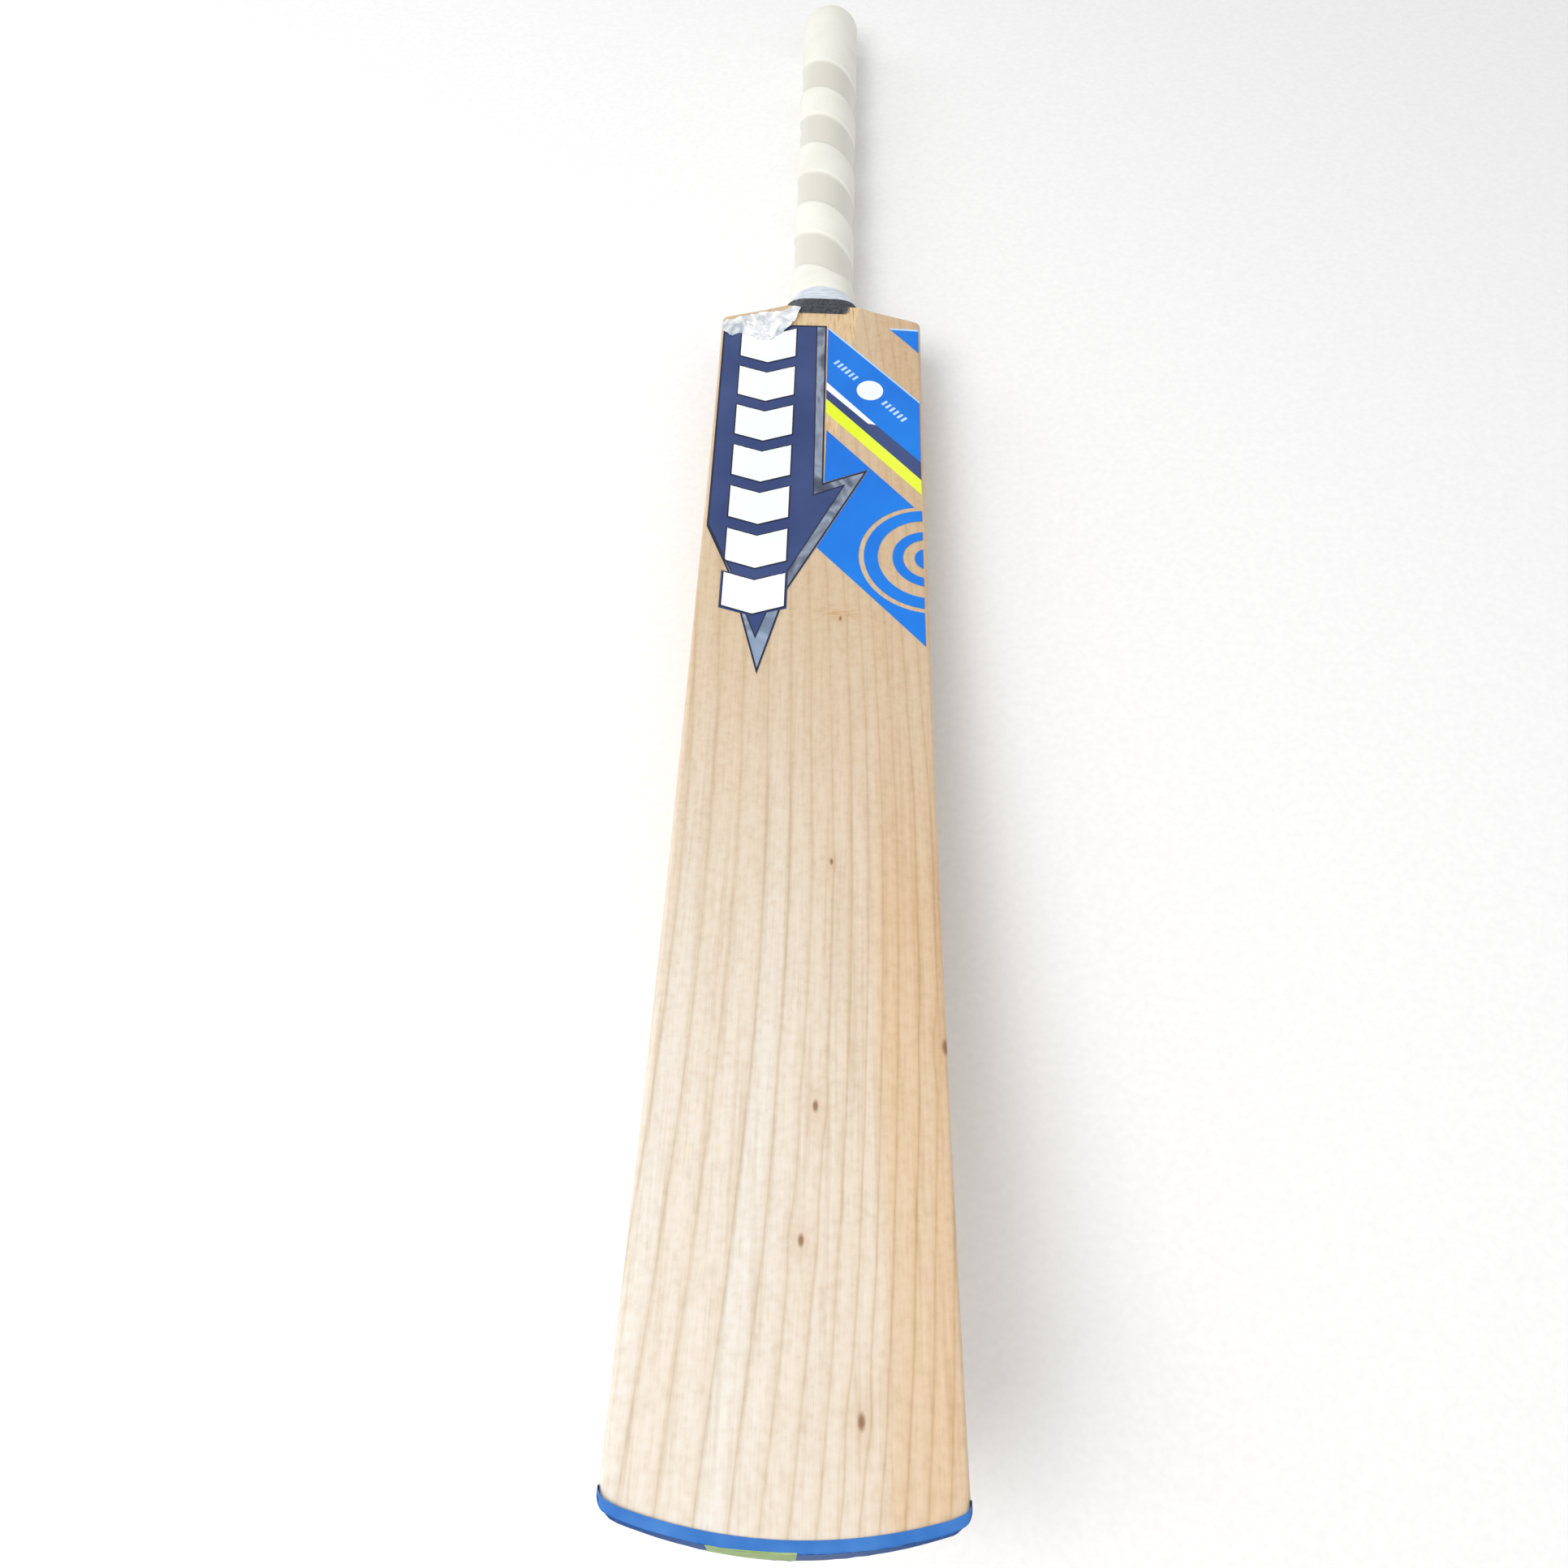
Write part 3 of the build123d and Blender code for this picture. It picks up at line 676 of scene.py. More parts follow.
def creased_film():
    """Torn polypropylene film, crumpled: clear, with its creases painted white and nearly opaque
    as painted glare.
    """
    material, tree, place = new_material("clear_film_creased", 0.16, ior=1.49)
    stretched = node(tree, "VectorMath MULTIPLY", [place, (110, 60, 80)])
    crease = node(
        tree, "TexNoise", {"Vector": stretched, "Scale": 1.0, "Detail": 4.0, "Distortion": 1.5}
    )
    # painted glare: the creases are coloured white and made nearly opaque
    colour = node(
        tree, "ValToRGB", [crease], stops=[(0.3, "#CAD8E3"), (0.43, "#E9F0F5"), (0.56, "#FFFFFF")]
    )
    cover = node(
        tree, "MapRange", {"Value": crease, "From Min": 0.3, "From Max": 0.65, "To Min": 0.72,
                           "To Max": 0.98},
    )
    return wire(material, crease, 0.5 * MM, base_color=colour, alpha=cover)


def fibre_tape():
    """Clear-backed fibre tape, wound: pale, slightly blue, with fine bright threads round it."""
    material, tree, place = new_material("neck_tape_fibre", 0.3, ior=1.49, coat=0.3)
    wound = node(tree, "VectorMath MULTIPLY", [place, (160, 1500, 160)])
    weave = node(tree, "TexNoise", {"Vector": wound, "Scale": 1.0, "Detail": 2.0})
    colour = node(
        tree, "ValToRGB", [weave], stops=[(0.3, "#B4C3D2"), (0.5, "#D8E0EA"), (0.7, "#EEF2F6")]
    )
    return wire(material, weave, 0.08 * MM, base_color=colour)


def studio_paper():
    """Seamless studio paper: pale, matt and faintly fibrous."""
    material, tree, place = new_material("studio_paper", 0.9, ior=1.4, specular=0.2)
    fibre = node(tree, "TexNoise", {"Vector": place, "Scale": 300.0})
    colour = node(tree, "ValToRGB", [fibre], stops=[(0.3, "#F7F7F7"), (0.7, "#FCFCFC")])
    return wire(material, base_color=colour)


# ---- Thin sheets that follow the face ----
def inside(point, polygon):
    """Whether a flat point lies inside a polygon."""
    x, y = point
    odd = False
    for (ax, ay), (bx, by) in zip(polygon, polygon[1:] + polygon[:1]):
        if (ay > y) != (by > y) and x < (bx - ax) * (y - ay) / (by - ay) + ax:
            odd = not odd
    return odd


def face_sheet(name, keep, borders, height, thickness, spacing=3.0):
    """Mesh of a sheet lying on the face, where keep holds, cut along its borders.

    Borders are closed outlines in millimetres, across and station. Points stand at a spacing in
    between, so that the sheet bends with the face.
    """
    points, edges = [], []
    for border in borders:
        start = len(points)
        fine = []
        for (ax, ay), (bx, by) in zip(border, border[1:] + border[:1]):
            steps = max(1, ceil(hypot(bx - ax, by - ay) / spacing))
            for i in range(steps):
                fine.append((ax + (bx - ax) * i / steps, ay + (by - ay) * i / steps))
        points += fine
        edges += [(start + i, start + (i + 1) % len(fine)) for i in range(len(fine))]
    low_x, high_x = min(p[0] for p in points), max(p[0] for p in points)
    low_y, high_y = min(p[1] for p in points), max(p[1] for p in points)
    for i in range(int((high_x - low_x) / spacing) + 1):
        for j in range(int((high_y - low_y) / spacing) + 1):
            points.append((low_x + (i + 0.37) * spacing, low_y + (j + 0.41) * spacing))
    flat, _, faces, *_ = delaunay_2d_cdt([Vector(p) for p in points], edges, [], 0, 1e-5)
    faces = [
        face for face in faces
        if keep((sum(flat[i].x for i in face) / 3, sum(flat[i].y for i in face) / 3))
    ]
    sheet = bmesh.new()
    top = [sheet.verts.new(face_point(p.x * MM, p.y * MM, height + thickness)) for p in flat]
    for face in faces:
        sheet.faces.new([top[i] for i in face])
    bmesh.ops.delete(sheet, geom=[v for v in sheet.verts if not v.link_faces], context="VERTS")
    bmesh.ops.recalc_face_normals(sheet, faces=sheet.faces)
    if sum(face.normal.z for face in sheet.faces) < 0:
        bmesh.ops.reverse_faces(sheet, faces=sheet.faces)
    rim = [edge for edge in sheet.edges if edge.is_boundary]
    wall = bmesh.ops.extrude_edge_only(sheet, edges=rim)
    for vertex in wall["geom"]:
        if isinstance(vertex, bmesh.types.BMVert):
            vertex.co.z -= thickness
    mesh = bpy.data.meshes.new(name)
    sheet.to_mesh(mesh)
    sheet.free()
    return mesh


def label(name, material, borders, nodes=(), layer=0, keep=None):
    """Label stuck on the face where keep holds, or inside any of its borders.

    Its layer is counted from the wood, and each layer lies a gap clear of the one below.
    """
    def in_a_border(point):
        return any(inside(point, border) for border in borders)

    sizes = bpy.context.scene.bat_labels
    height = LABEL_GAP + layer * (sizes.thickness + LABEL_GAP)
    mesh = face_sheet(name, keep or in_a_border, borders, height, sizes.thickness)
    finish_piece(name, mesh, material, 40, nodes)


def offset_outline(outline, distance):
    """Outline moved inwards by a distance, or outwards by a negative one, with mitred corners."""
    area = sum(a[0] * b[1] - b[0] * a[1] for a, b in zip(outline, outline[1:] + outline[:1]))
    turn = 1 if area > 0 else -1
    moved = []
    for i, corner in enumerate(outline):
        before = (Vector(corner) - Vector(outline[i - 1])).normalized()
        after = (Vector(outline[(i + 1) % len(outline)]) - Vector(corner)).normalized()
        normals = [Vector((-edge.y, edge.x)) * turn for edge in (before, after)]
        middle = (normals[0] + normals[1]).normalized()
        reach = distance / max(middle.dot(normals[0]), 0.2)
        moved.append(tuple(Vector(corner) + middle * reach))
    return moved


def line_label(name, material, outlines, width):
    """Thin line on a label, just inside each of some outlines, as the painted shadow round the
    chevrons.
    """
    pairs = [(outline, offset_outline(outline, width)) for outline in outlines]

    def keep(point):
        return any(inside(point, outer) and not inside(point, inner) for outer, inner in pairs)

    borders = [border for pair in pairs for border in pair]
    label(name, material, borders, (), 1, keep)


def ring_outline(centre, radius, count=48):
    """Outline of a circle."""
    x, y = centre
    turns = [2 * pi * i / count for i in range(count)]
    return [(x + radius * cos(turn), y + radius * sin(turn)) for turn in turns]


# ---- Label outlines: across and station, in millimetres ----
LABEL_GAP = 0.02 * MM
BAND_LEFT, BAND_RIGHT, BAND_FALL = 3.8, 51.6, 1.1
BAND_DROP = BAND_FALL * (BAND_RIGHT - BAND_LEFT)
NAVY = [
    (-51.6, 557.5), (-2.4, 557.5), (-1.4, 439.0), (13.2, 446.0), (-12.6, 390.0), (-16.5, 381.0),
    (-25.2, 351.4), (-29.8, 364.3), (-36.5, 386.5), (-43.4, 402.0), (-51.6, 421.5),
]
ARROW = [
    (-51.6, 557.5), (3.0, 557.5), (3.5, 447.3), (25.2, 457.1), (-11.5, 380.0), (-23.6, 329.8),
    (-38.5, 386.5), (-51.6, 418.3),
]
BLUE_BAND = [(3.8, 556.5), (51.6, 506.0), (51.6, 464.5), (29.3, 488.2), (3.8, 516.9)]
WHITE_BAND = [(3.8, 516.9), (29.3, 488.2), (25.2, 489.0), (3.8, 511.6)]
NAVY_BAND = [
    (3.8, 511.6), (25.2, 489.0), (29.3, 488.2), (51.6, 464.5), (51.6, 505.3 - BAND_DROP),
    (3.8, 505.3),
]
LIME_BAND = [(3.8, 505.2), (51.6, 505.2 - BAND_DROP), (51.6, 495.7 - BAND_DROP), (3.8, 495.7)]
LOWER_PANEL = [
    (4.4, 483.3), (49.6, 432.4), (51.6, 432.4), (51.6, 349.5), (1.2, 406.0), (25.8, 457.8),
    (3.9, 448.0),
]
PANEL_RINGS = [(12.0, 6.5), (24.0, 17.0), (33.0, 30.5)]
PANEL_CENTRE = (54.0, 402.0)
CORNER_PATCH = [(36.0, 558.0), (51.6, 558.0), (51.6, 541.5)]
DISC_CENTRE, DISC_RADIUS = (26.1, 512.1), 6.8
PALE_LINE = 1.1
TICKS, TICK_PITCH, TICK_ROW = 6, 2.9, 18.5  # each row's ticks, and its middle from the disc
TICK_HALF_WIDTH, TICK_HALF_LENGTH = 0.7, 1.8
CHEVRON_TOP, CHEVRON_PITCH, CHEVRON_HEIGHT, CHEVRON_POINT = 555.0, 27.6, 20.0, 5.0
CHEVRON_LEFT, CHEVRON_RIGHT = -41.6, -13.0
FILM = [
    (-53.0, 557.0), (-51.8, 552.4), (-47.5, 549.0), (-43.4, 551.2), (-37.0, 549.0), (-31.0, 545.6),
    (-25.5, 547.0), (-20.5, 551.6), (-16.4, 556.0), (-13.2, 561.5), (-11.2, 567.4), (-13.6, 569.4),
    (-20.0, 566.8), (-28.0, 566.2), (-37.0, 564.6), (-44.0, 562.0), (-50.0, 560.8),
]


# ---- Sizes and colours that a user would change ----
class BatWood(PropertyGroup):
    """Figure of the blade's willow."""

    heartwood: FloatProperty(
        name="Heartwood", description="Place across the blade at which the tanned side begins",
        default=-25 * MM, unit="LENGTH",
    )
    fibre_width: FloatProperty(
        name="Fibre width", description="Width of the fine streaks along the grain",
        default=1.0 * MM, unit="LENGTH",
    )


class BatGrip(PropertyGroup):
    """Shape of the rubber grip and the binding under it."""

    radius: FloatProperty(
        name="Radius", description="Radius of the grip's raised band",
        default=MOUNT["dims"]["r_mm"] * MM, unit="LENGTH",
    )
    groove_depth: FloatProperty(
        name="Groove depth", description="How far the spiral groove lies below the raised band",
        default=0.9 * MM, unit="LENGTH",
    )
    spiral_pitch: FloatProperty(
        name="Spiral pitch", description="Distance between turns of the raised band",
        default=52 * MM, unit="LENGTH",
    )
    whipping_turns: IntProperty(
        name="Whipping turns", description="Turns of thread in the collar at the neck", default=12,
    )


class BatLabels(PropertyGroup):
    """Size of the labels."""

    thickness: FloatProperty(
        name="Thickness", description="Thickness of a label", default=0.16 * MM, unit="LENGTH",
    )
    chevrons: IntProperty(
        name="Chevrons", description="White chevrons down the main label", default=7,
    )
    line: FloatProperty(
        name="Line", description="Width of the dark line round the foil border, in millimetres",
        default=0.8,
    )


class BatColours(PropertyGroup):
    """Hex colours of the parts that are not bare wood."""

    grip: StringProperty(name="Grip", description="Grip's raised band", default="#F1F1E8")
    # the groove's darker colour is painted shade in the recess
    groove: StringProperty(name="Groove", description="Grip's groove", default="#DDDBD0")
    toe_guard: StringProperty(name="Toe guard", description="Toe guard's edge", default="#2F6DBA")
    navy: StringProperty(name="Navy", description="Main label", default="#2F4073")
    blue: StringProperty(name="Blue", description="Blue labels", default="#0070DC")
    lime: StringProperty(name="Lime", description="Lime stripe", default="#E4FB1E")
    white: StringProperty(name="White", description="White print", default="#F2F8F7")
    # the dark colour is also the painted shadow round the chevrons
    dark: StringProperty(name="Dark line", description="Line round the labels", default="#1C2036")


class BatStage(PropertyGroup):
    """Where the camera stands, on the level bat, measured from the toe of the face."""

    camera_place: FloatVectorProperty(
        name="Camera place", description="Camera's place from the toe of the face",
        subtype="TRANSLATION", default=(-3.33 * MM, -30.74 * MM, 417.02 * MM),
    )
    camera_aim: FloatVectorProperty(
        name="Camera aim", description="Point on the chord of the face that the camera looks at",
        subtype="TRANSLATION", default=(-9.07 * MM, 259.96 * MM, 0.0),
    )
    camera_roll: FloatProperty(
        name="Camera roll", description="Turn of the camera about its line of sight",
        default=radians(1.13), subtype="ANGLE",
    )
    lens: FloatProperty(
        name="Lens", description="Focal length on a sensor 36 mm wide", default=29.34,
        unit="CAMERA",
    )


# ---- Operators ----
class BAT_OT_stage(Operator):
    """Adds the floor, the lights and the camera"""

    bl_idname = "bat.stage"
    bl_label = "Stage"

    def execute(self, context):
        stage = context.scene.bat_stage
        context.scene.view_settings.view_transform = "Standard"
        low, high = [Vector(corner) for corner in CAD_BOUNDS]
        reach = 6.0
        floor_mesh = bpy.data.meshes.new("floor")
        corners = [(-reach, -reach), (reach, -reach), (reach, reach), (-reach, reach)]
        floor_mesh.from_pydata([(x, y, low.z) for x, y in corners], [], [(0, 1, 2, 3)])
        floor_mesh.materials.append(studio_paper())
        floor = bpy.data.objects.new("floor", floor_mesh)
        context.collection.objects.link(floor)

        camera_data = bpy.data.cameras.new("camera")
        camera_data.sensor_width = 36
        camera_data.lens = stage.lens
        camera_data.clip_start = 0.01
        camera = bpy.data.objects.new("camera", camera_data)
        context.collection.objects.link(camera)
        place = Vector(stage.camera_place)
        forward = (Vector(stage.camera_aim) - place).normalized()
        side = forward.cross(Vector((0, 0, 1))).normalized()
        turn = Matrix((side, side.cross(forward), -forward)).transposed().to_4x4()
        turn = turn @ Matrix.Rotation(stage.camera_roll, 4, "Z")
        camera.matrix_world = LAY @ Matrix.Translation(place) @ turn
        context.scene.camera = camera

        world = bpy.data.worlds.new("studio")
        world.use_nodes = True
        background = world.node_tree.nodes["Background"]
        background.inputs["Color"].default_value = linear("#FFFFFF")
        background.inputs["Strength"].default_value = 0.58
        context.scene.world = world

        middle = (low + high) / 2
        for name, offset, size, power in (
            ("key_light", (-0.62, -0.55, 1.25), 0.8, 12.5),
            ("fill_light", (0.9, -0.4, 1.2), 1.2, 2.0),
            ("side_light", (-1.5, 0.6, 0.7), 0.9, 5.0),
        ):
            light_data = bpy.data.lights.new(name, "AREA")
            light_data.size = size
            light_data.energy = power
            light = bpy.data.objects.new(name, light_data)
            context.collection.objects.link(light)
            light.location = middle + Vector(offset)
            light.rotation_euler = (-Vector(offset)).to_track_quat("-Z", "Y").to_euler()
        return {"FINISHED"}


class BAT_OT_blade(Operator):
    """Builds the willow blade, with the V-shaped splice cut out of it"""

    bl_idname = "bat.blade"
    bl_label = "Blade"

    def execute(self, context):
        loops = []
        for i in range(BLADE_ROWS + 1):
            station = -2 * MM + 578 * MM * i / BLADE_ROWS
            loop = []
            for across, _, height in blade_section(station):
                toe, top = toe_drop(across), shoulder_station(across)
                place = toe + (top - toe) * i / BLADE_ROWS
                drop = face_height(place) - face_height(station)
                loop.append(Vector((across, place, height + drop)))
            loops.append(loop)
        solid = loops_mesh("blade", loops, bent=True)
        blade_mesh = cut_mesh(solid, self.wedge_mesh(), "DIFFERENCE")
        finish_piece("blade_willow", blade_mesh, willow(), 42, ["blade"])
        return {"FINISHED"}

    def wedge_mesh(self):
        """Prism that cuts the V-shaped splice right through the blade."""
        tip, top = SPLICE_TIP, 600 * MM
        widen = (SPLICE_HALF_WIDTH - SPLICE_TIP_HALF_WIDTH) / (SHOULDER_TOP - SPLICE_TIP)
        top_half = SPLICE_HALF_WIDTH + widen * (top - SHOULDER_TOP)
        outline = [
            (-SPLICE_TIP_HALF_WIDTH, tip), (SPLICE_TIP_HALF_WIDTH, tip), (top_half, top),
            (-top_half, top),
        ]
        loops = [[Vector((x, y, z)) for x, y in outline] for z in (-120 * MM, 60 * MM)]
        return loops_mesh("wedge", loops)


class BAT_OT_handle_core(Operator):
    """Finishes the cane billets, the rubber springs and the twine inside the handle"""

    bl_idname = "bat.handle_core"
    bl_label = "Handle Core"

    def execute(self, context):
        finishes = {
            "cane_billet": cane(),
            "rubber_spring": plain_rubber("spring_rubber_sheet", "#26262A", "#3A3A3E"),
            "handle_binding": thread("binding_twine_waxed", "#D8CDB2", "#A99B7C", 0.6),
        }
        for name, part in frame["nodes"].items():
            for start, material in finishes.items():
                if name.startswith(start):
                    for slot in part.material_slots:
                        slot.material = material
        return {"FINISHED"}


class BAT_OT_toe_guard(Operator):
    """Builds the rubber toe guard and finishes the patch under it"""

    bl_idname = "bat.toe_guard"
    bl_label = "Toe Guard"

    def execute(self, context):
        section = blade_section(-2 * MM)
        centre_height = sum(p.z for p in section) / len(section)
        # each loop: how far beyond the wood, how far drawn in from its outline
        steps = [(-0.5, -0.12), (0.2, -0.2), (2.2, -0.2), (2.75, 0.0), (3.0, 0.45)]
        steps += [(3.0, 1.5), (3.0, 4.0), (3.0, 8.0)]
        loops = []
        for beyond, drawn in steps:
            loop = []
            for k, point in enumerate(section):
                ragged = noise.noise(Vector((k * 0.9, beyond * 3, 5.0))) * 0.22
                ragged = ragged if 2.0 < beyond and drawn < 1 else 0.0
                across = point.x * (1 - drawn * MM / (54 * MM))
                height = centre_height + (point.z - centre_height) * (1 - drawn / 11.5)
                loop.append(Vector((across, toe_drop(point.x) - (beyond + ragged) * MM, height)))
            loops.append(loop)
        mesh = loops_mesh("toe_guard", loops, bent=True)
        finish_piece("toe_guard_rubber", mesh, toe_rubber(), 50, ["toe_guard"])
        patch = frame["nodes"]["toe_guard_patch"]
        for slot in patch.material_slots:
            slot.material = plain_rubber("patch_rubber_sheet", "#86A45C", "#A9C07E")
        return {"FINISHED"}


class BAT_OT_grip(Operator):
    """Builds the spiral grip with its rolled end"""

    bl_idname = "bat.grip"
    bl_label = "Grip"

    def execute(self, context):
        sizes = context.scene.bat_grip
        start, straight, end = 591.0 * MM, 604 * MM, HANDLE_TOP
        cover, corner, count = sizes.radius - CANE_RADIUS, 7 * MM, RING_POINTS
        loops, raised = [], []
        station = start
        while station < end - corner:
            if station < straight:
                t = (station - start) / (straight - start)
                bead = 1.1 * MM * max(1 - (2 * t - 1) ** 2, 0.0) ** 0.35
                loops.append(handle_ring(station, cover - 0.6 * MM + bead))
                raised += [1.0] * count
            else:
                marks = [self.relief(station, 2 * pi * i / count, sizes) for i in range(count)]
                wave = [(mark - 1) * sizes.groove_depth for mark in marks]
                loops.append(handle_ring(station, cover, wave))
                raised += marks
            station += 1.0 * MM
        for step in range(1, 13):
            angle = pi / 2 * step / 12
            station = end - corner + corner * sin(angle)
            loops.append(handle_ring(station, cover - corner * (1 - cos(angle))))
            raised += [1.0] * count
        mesh = loops_mesh("grip", loops)
        shade = mesh.attributes.new("raised", "FLOAT", "POINT")
        shade.data.foreach_set("value", raised)
        finish_piece("grip_rubber_sleeve", mesh, grip_rubber(), 60, ["grip_sleeve"])
        return {"FINISHED"}

    def relief(self, station, angle, sizes):
        """1 on the raised band and 0 in the groove, with a short slope between."""
        turn = (station - 736.5 * MM) / sizes.spiral_pitch - (angle - pi / 2) / (2 * pi)
        place = turn % 1.0
        side = min(place, 0.5 - place) if place < 0.5 else -min(place - 0.5, 1 - place)
        share = min(max(side * sizes.spiral_pitch / (1.6 * MM) + 0.5, 0.0), 1.0)
        fade = min(max((station - 790 * MM) / (20 * MM), 0.0), 1.0)
        return share * share * (3 - 2 * share) * (1 - fade) + fade


def handle_ring(station, cover, wave=None):
    """Loop round the handle at a station, at a cover above the bare cane.

    Near the blade its face side is squarer, to lie level with the face.
    """
    half_width, half_depth = [v * MM for v in smooth_between(NECK, station / MM)]
    along = Vector((0, 1, HANDLE_SLOPE)).normalized()
    out = Vector((0, -along.z, along.y))
    centre = Vector((0, station, (station - BLADE_LENGTH) * HANDLE_SLOPE - HANDLE_DEPTH))
    loop = []
    squareness = 2 + 2.6 * min(max((592 * MM - station) / (16 * MM), 0.0), 1.0)
    for i in range(RING_POINTS):
        angle = 2 * pi * i / RING_POINTS
        more = cover + (wave[i] if wave else 0.0)
        c, s = cos(angle), sin(angle)
        power = 2 / squareness if s > 0 else 1.0
        wide = copysign(abs(c) ** power, c) * (half_width + more)
        deep = copysign(abs(s) ** power, s) * (half_depth + more)
        loop.append(centre + Vector((wide, 0, 0)) + out * deep)
    return loop


class BAT_OT_neck(Operator):
    """Builds the tape and the thread whipping round the neck"""

    bl_idname = "bat.neck"
    bl_label = "Neck"

    def execute(self, context):
        loops = [handle_ring((580 + i) * MM, (2.0 + 0.12 * sin(i * 2.1)) * MM) for i in range(12)]
        mesh = loops_mesh("neck_tape", loops)
        finish_piece("neck_tape_band", mesh, fibre_tape(), 60, ["neck_tape"])

        turns = context.scene.bat_grip.whipping_turns
        start, end, steps = 569.0 * MM, 580.8 * MM, turns * 8
        loops = []
        for i in range(steps + 1):
            round_share = abs(sin(pi * turns * i / steps)) ** 0.7
            taper = min(i / 2, (steps - i) / 5, 1.0)
            station = start + (end - start) * i / steps
            loops.append(handle_ring(station, (1.6 + 1.0 * taper + 0.4 * round_share) * MM))
        mesh = loops_mesh("whipping", loops)
        # painted sheen: the pale tone of the black thread stands in for its glossy highlight
        black = thread("whipping_waxed_thread", "#4C535C", "#1B2025", 0.36)
        finish_piece(
            "whipping_thread_turns", mesh, black, 80, ["neck_whipping"]
        )
        return {"FINISHED"}


class BAT_OT_main_label(Operator):
    """Builds the navy label, its foil border, its dark lines and its chevrons"""

    bl_idname = "bat.main_label"
    bl_label = "Main Label"

    def execute(self, context):
        colours = context.scene.bat_colours
        count = context.scene.bat_labels.chevrons
        width = context.scene.bat_labels.line
        rim = self.chevron(count - 1, 1.3)
        navy = vinyl("navy_vinyl_laminated", colours.navy, "#405285")
        label("navy_label", navy, [NAVY, rim], ["main_label"])

        def on_border(point):
            return inside(point, ARROW) and not inside(point, NAVY) and not inside(point, rim)

        label(
            "foil_border", silver_foil(), [ARROW, NAVY, rim], ["silver_edge"], 0,
            on_border,
        )
        # dark print for the lines round the foil, and painted shadow round the chevrons
        dark = vinyl("dark_print_and_shadow_laminated", colours.dark, "#2A2F4A")
        foil_inner = offset_outline(NAVY, -width * 0.6)
        arrow_inner = offset_outline(ARROW, width)

        def on_line(point):
            if inside(point, rim):
                return False
            outer = inside(point, ARROW) and not inside(point, arrow_inner)
            inner = inside(point, foil_inner) and not inside(point, NAVY)
            return (outer or inner) and inside(point, ARROW)

        label(
            "dark_lines", dark, [ARROW, arrow_inner, foil_inner, NAVY, rim], (), 1,
            on_line,
        )
        white = vinyl("white_print_laminated", colours.white, "#FFFFFF")
        chevrons = [self.chevron(number) for number in range(count)]
        label("chevrons", white, chevrons, ["white_chevrons"], 1)
        # painted shadow: a thin dark line round each white chevron
        line_label(
            "chevron_shadows", dark, [self.chevron(number, 0.7) for number in range(count)], 0.7,
        )
        return {"FINISHED"}

    def chevron(self, number, rim=0.0):
        """Outline of a white chevron, counted from the shoulders, widened by a rim."""
        top = CHEVRON_TOP - number * CHEVRON_PITCH + rim
        bottom = top - CHEVRON_HEIGHT - 2 * rim
        left, right = CHEVRON_LEFT - rim, CHEVRON_RIGHT + rim
        middle = (left + right) / 2
        return [
            (left, top), (middle, top - CHEVRON_POINT), (right, top), (right, bottom),
            (middle, bottom - CHEVRON_POINT), (left, bottom),
        ]


class BAT_OT_band_labels(Operator):
    """Builds the diagonal bands, the disc and its ticks, the ringed panel and the corner patch"""

    bl_idname = "bat.band_labels"
    bl_label = "Band Labels"

    def execute(self, context):
        colours = context.scene.bat_colours
        blue = vinyl("blue_vinyl_laminated", colours.blue, "#0A80E8")
        white = vinyl("white_vinyl_laminated", colours.white, "#FFFFFF")
        navy = vinyl("navy_stripe_vinyl", colours.navy, "#405285")
        lime = vinyl("lime_vinyl_laminated", colours.lime, "#F0FF50")
        pale = vinyl("pale_blue_vinyl", "#A9D2FA", "#D6EAFD")
        for name, material, outline, part, slot_name in (
            ("blue_band", blue, BLUE_BAND, "blue_band_label", "blue_vinyl"),
            ("white_band", white, WHITE_BAND, "white_stripe", "white_vinyl"),
            ("navy_band", navy, NAVY_BAND, "navy_stripe", "navy_vinyl"),
            ("lime_band", lime, LIME_BAND, "lime_stripe", "lime_vinyl"),
            ("corner_patch", blue, CORNER_PATCH, "corner_label", "blue_vinyl"),
        ):
            label(name, material, [outline], [part])

        rings = [[ring_outline(PANEL_CENTRE, radius) for radius in pair] for pair in PANEL_RINGS]

        def on_panel(point):
            cut = any(inside(point, outer) and not inside(point, inner) for outer, inner in rings)
            return inside(point, LOWER_PANEL) and not cut

        borders = [LOWER_PANEL] + [ring for pair in rings for ring in pair]
        label("lower_panel", blue, borders, ["lower_label"], 0, on_panel)

        disc = ring_outline(DISC_CENTRE, DISC_RADIUS)
        label("disc", white, [disc], ["band_disc"], 1)
        label("ticks", pale, self.ticks(), ["band_ticks"], 1)
        # a pale line runs along the upper edges
        (left, top), (right, bottom) = BLUE_BAND[:2]
        (patch_left, patch_top), (patch_right, _) = CORNER_PATCH[:2]
        low = patch_top - PALE_LINE
        edges = [
            [(left, top), (right, bottom), (right, bottom - PALE_LINE), (left, top - PALE_LINE)],
            [(patch_left, patch_top), (patch_right, patch_top), (patch_right, low),
             (patch_left + 1, low)],
        ]
        label("pale_edges", pale, edges, (), 1)
        return {"FINISHED"}

    def ticks(self):
        """Outlines of the two rows of ticks, one on each side of the disc."""
        along = Vector((1, -BAND_FALL)).normalized()
        over = Vector((along.y, -along.x))
        outlines = []
        for side in (-1, 1):
            for i in range(TICKS):
                distance = side * TICK_ROW + (i - (TICKS - 1) / 2) * TICK_PITCH
                middle = Vector(DISC_CENTRE) + along * distance
                outlines.append([
                    tuple(middle + along * a * TICK_HALF_WIDTH + over * b * TICK_HALF_LENGTH)
                    for a, b in ((-1, -1), (1, -1), (1, 1), (-1, 1))
                ])
        return outlines


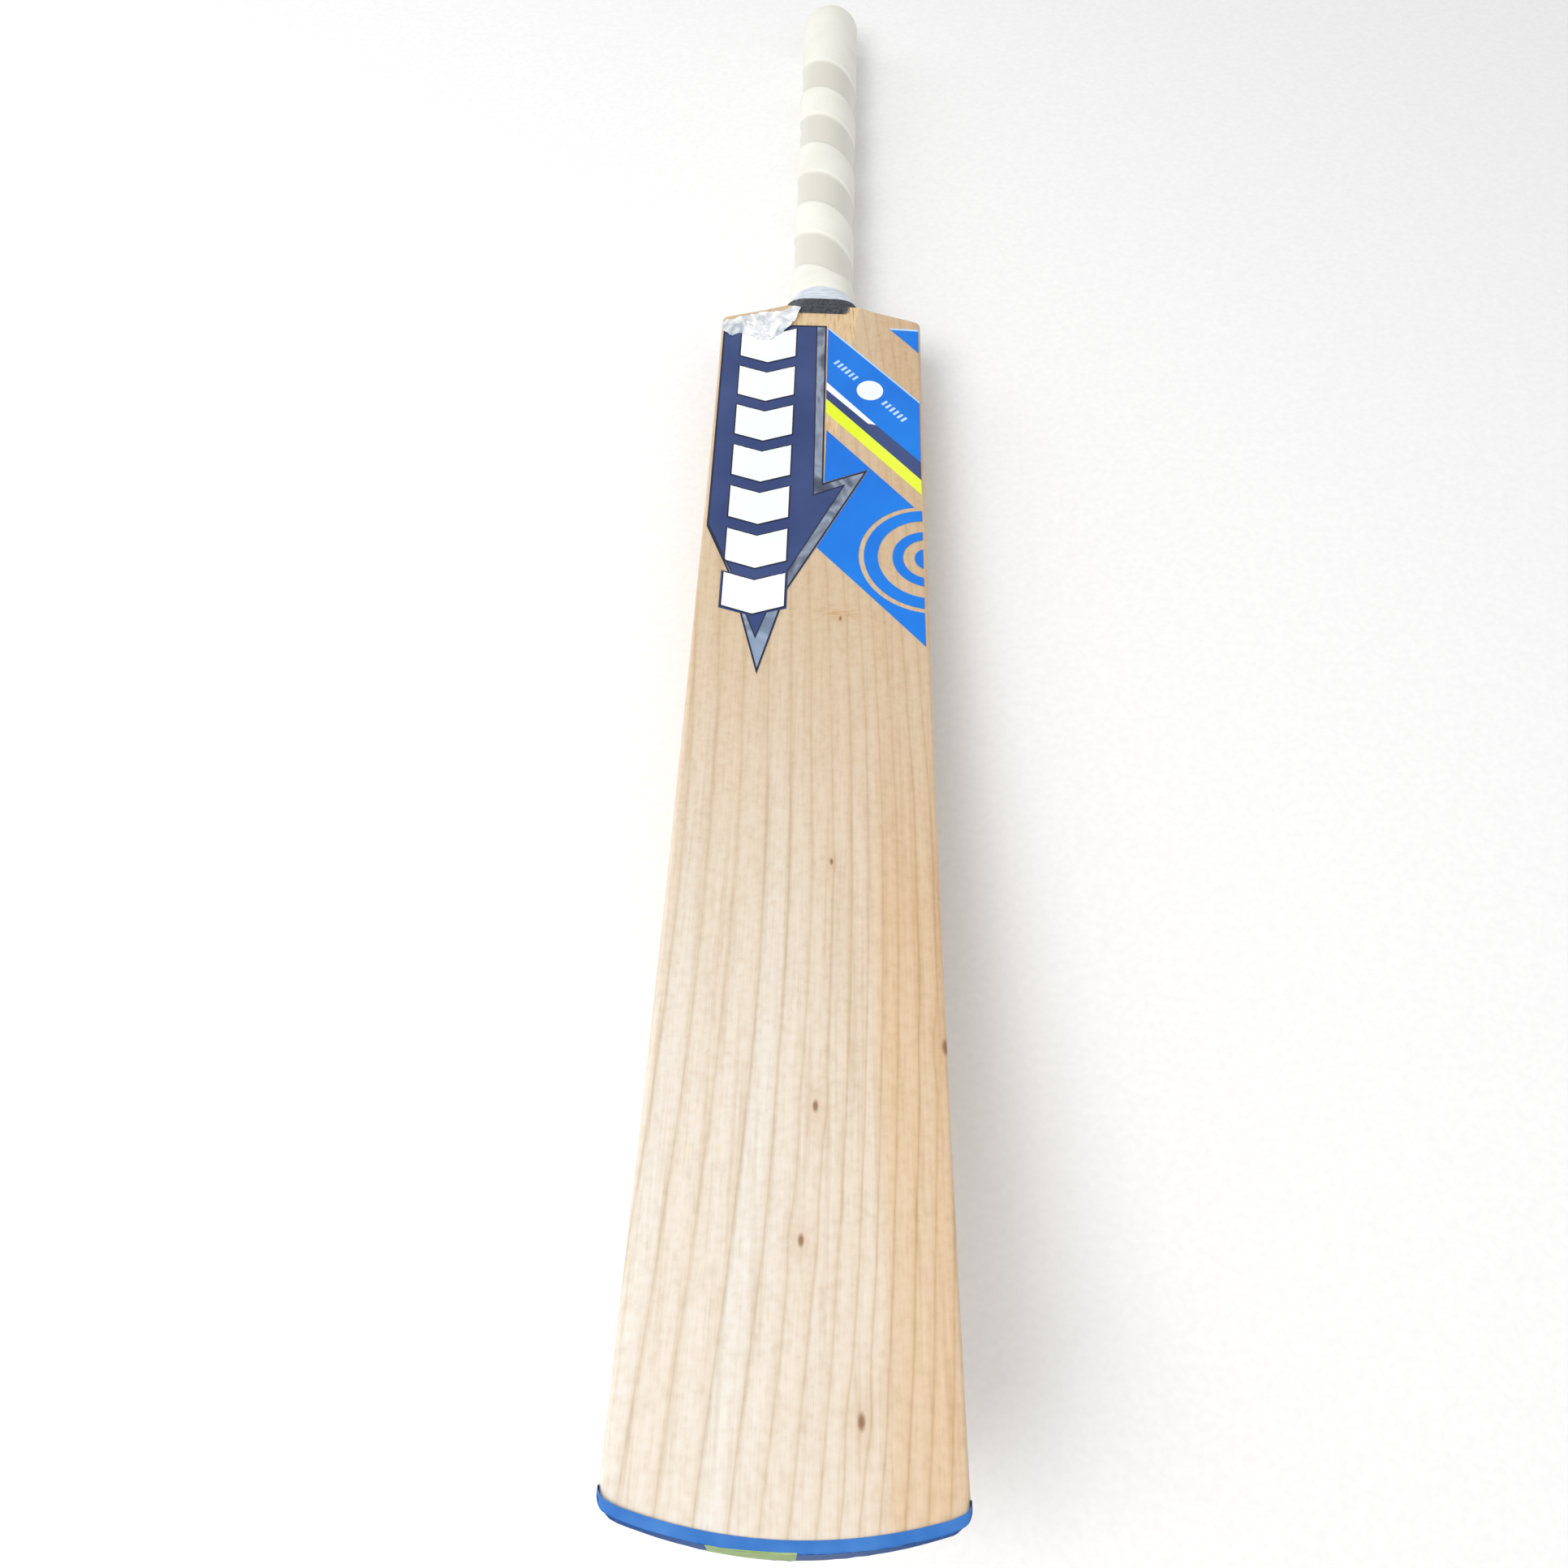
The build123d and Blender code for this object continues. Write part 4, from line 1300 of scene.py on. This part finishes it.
class BAT_OT_film(Operator):
    """Builds the torn and crumpled clear film over the top of the main label"""

    bl_idname = "bat.film"
    bl_label = "Film"

    def execute(self, context):
        def keep(point):
            return inside(point, FILM)

        mesh = face_sheet("film", keep, [FILM], 0.45 * MM, 0.1 * MM, spacing=1.0)
        for vertex in mesh.vertices:
            across, station = vertex.co.x / MM, vertex.co.y / MM
            folds = noise.noise(Vector((across * 0.16, station * 0.34, 2.0)))
            fine = noise.noise(Vector((across * 0.5, station * 0.8, 7.0)))
            tip = max(0.0, 1 - hypot(across + 13, station - 566) / 12)
            lift = 0.9 * (1 - abs(folds) * 2.4) + 0.35 * fine + 2.2 * tip
            vertex.co.z += max(lift, -0.2) * MM
            vertex.co.y += 0.5 * MM * fine
        finish_piece("film_creased", mesh, creased_film(), 30, ["clear_film"])
        return {"FINISHED"}


CLASSES = [
    BatWood,
    BatGrip,
    BatLabels,
    BatColours,
    BatStage,
    BAT_OT_stage,
    BAT_OT_blade,
    BAT_OT_handle_core,
    BAT_OT_toe_guard,
    BAT_OT_grip,
    BAT_OT_neck,
    BAT_OT_main_label,
    BAT_OT_band_labels,
    BAT_OT_film,
]


class BAT_PT_panel(Panel):
    """Lists the bat's pieces"""

    bl_label = "Cricket Bat"
    bl_idname = "BAT_PT_panel"
    bl_space_type = "VIEW_3D"
    bl_region_type = "UI"
    bl_category = "Cricket Bat"

    def draw(self, context):
        for cls in CLASSES:
            if issubclass(cls, Operator):
                self.layout.operator(cls.bl_idname)


def register():
    """Registers the classes and the settings on the scene."""
    for cls in [*CLASSES, BAT_PT_panel]:
        bpy.utils.register_class(cls)
    bpy.types.Scene.bat_wood = PointerProperty(type=BatWood)
    bpy.types.Scene.bat_grip = PointerProperty(type=BatGrip)
    bpy.types.Scene.bat_labels = PointerProperty(type=BatLabels)
    bpy.types.Scene.bat_colours = PointerProperty(type=BatColours)
    bpy.types.Scene.bat_stage = PointerProperty(type=BatStage)


def unregister():
    """Removes the settings and the classes."""
    for name in ("bat_wood", "bat_grip", "bat_labels", "bat_colours", "bat_stage"):
        delattr(bpy.types.Scene, name)
    for cls in reversed([*CLASSES, BAT_PT_panel]):
        bpy.utils.unregister_class(cls)


def main():
    """Builds the whole bat."""
    register()
    bpy.ops.bat.stage()
    bpy.ops.bat.blade()
    bpy.ops.bat.handle_core()
    bpy.ops.bat.toe_guard()
    bpy.ops.bat.grip()
    bpy.ops.bat.neck()
    bpy.ops.bat.main_label()
    bpy.ops.bat.band_labels()
    bpy.ops.bat.film()
    bpy.context.view_layer.update()


if __name__ == "__main__":
    main()
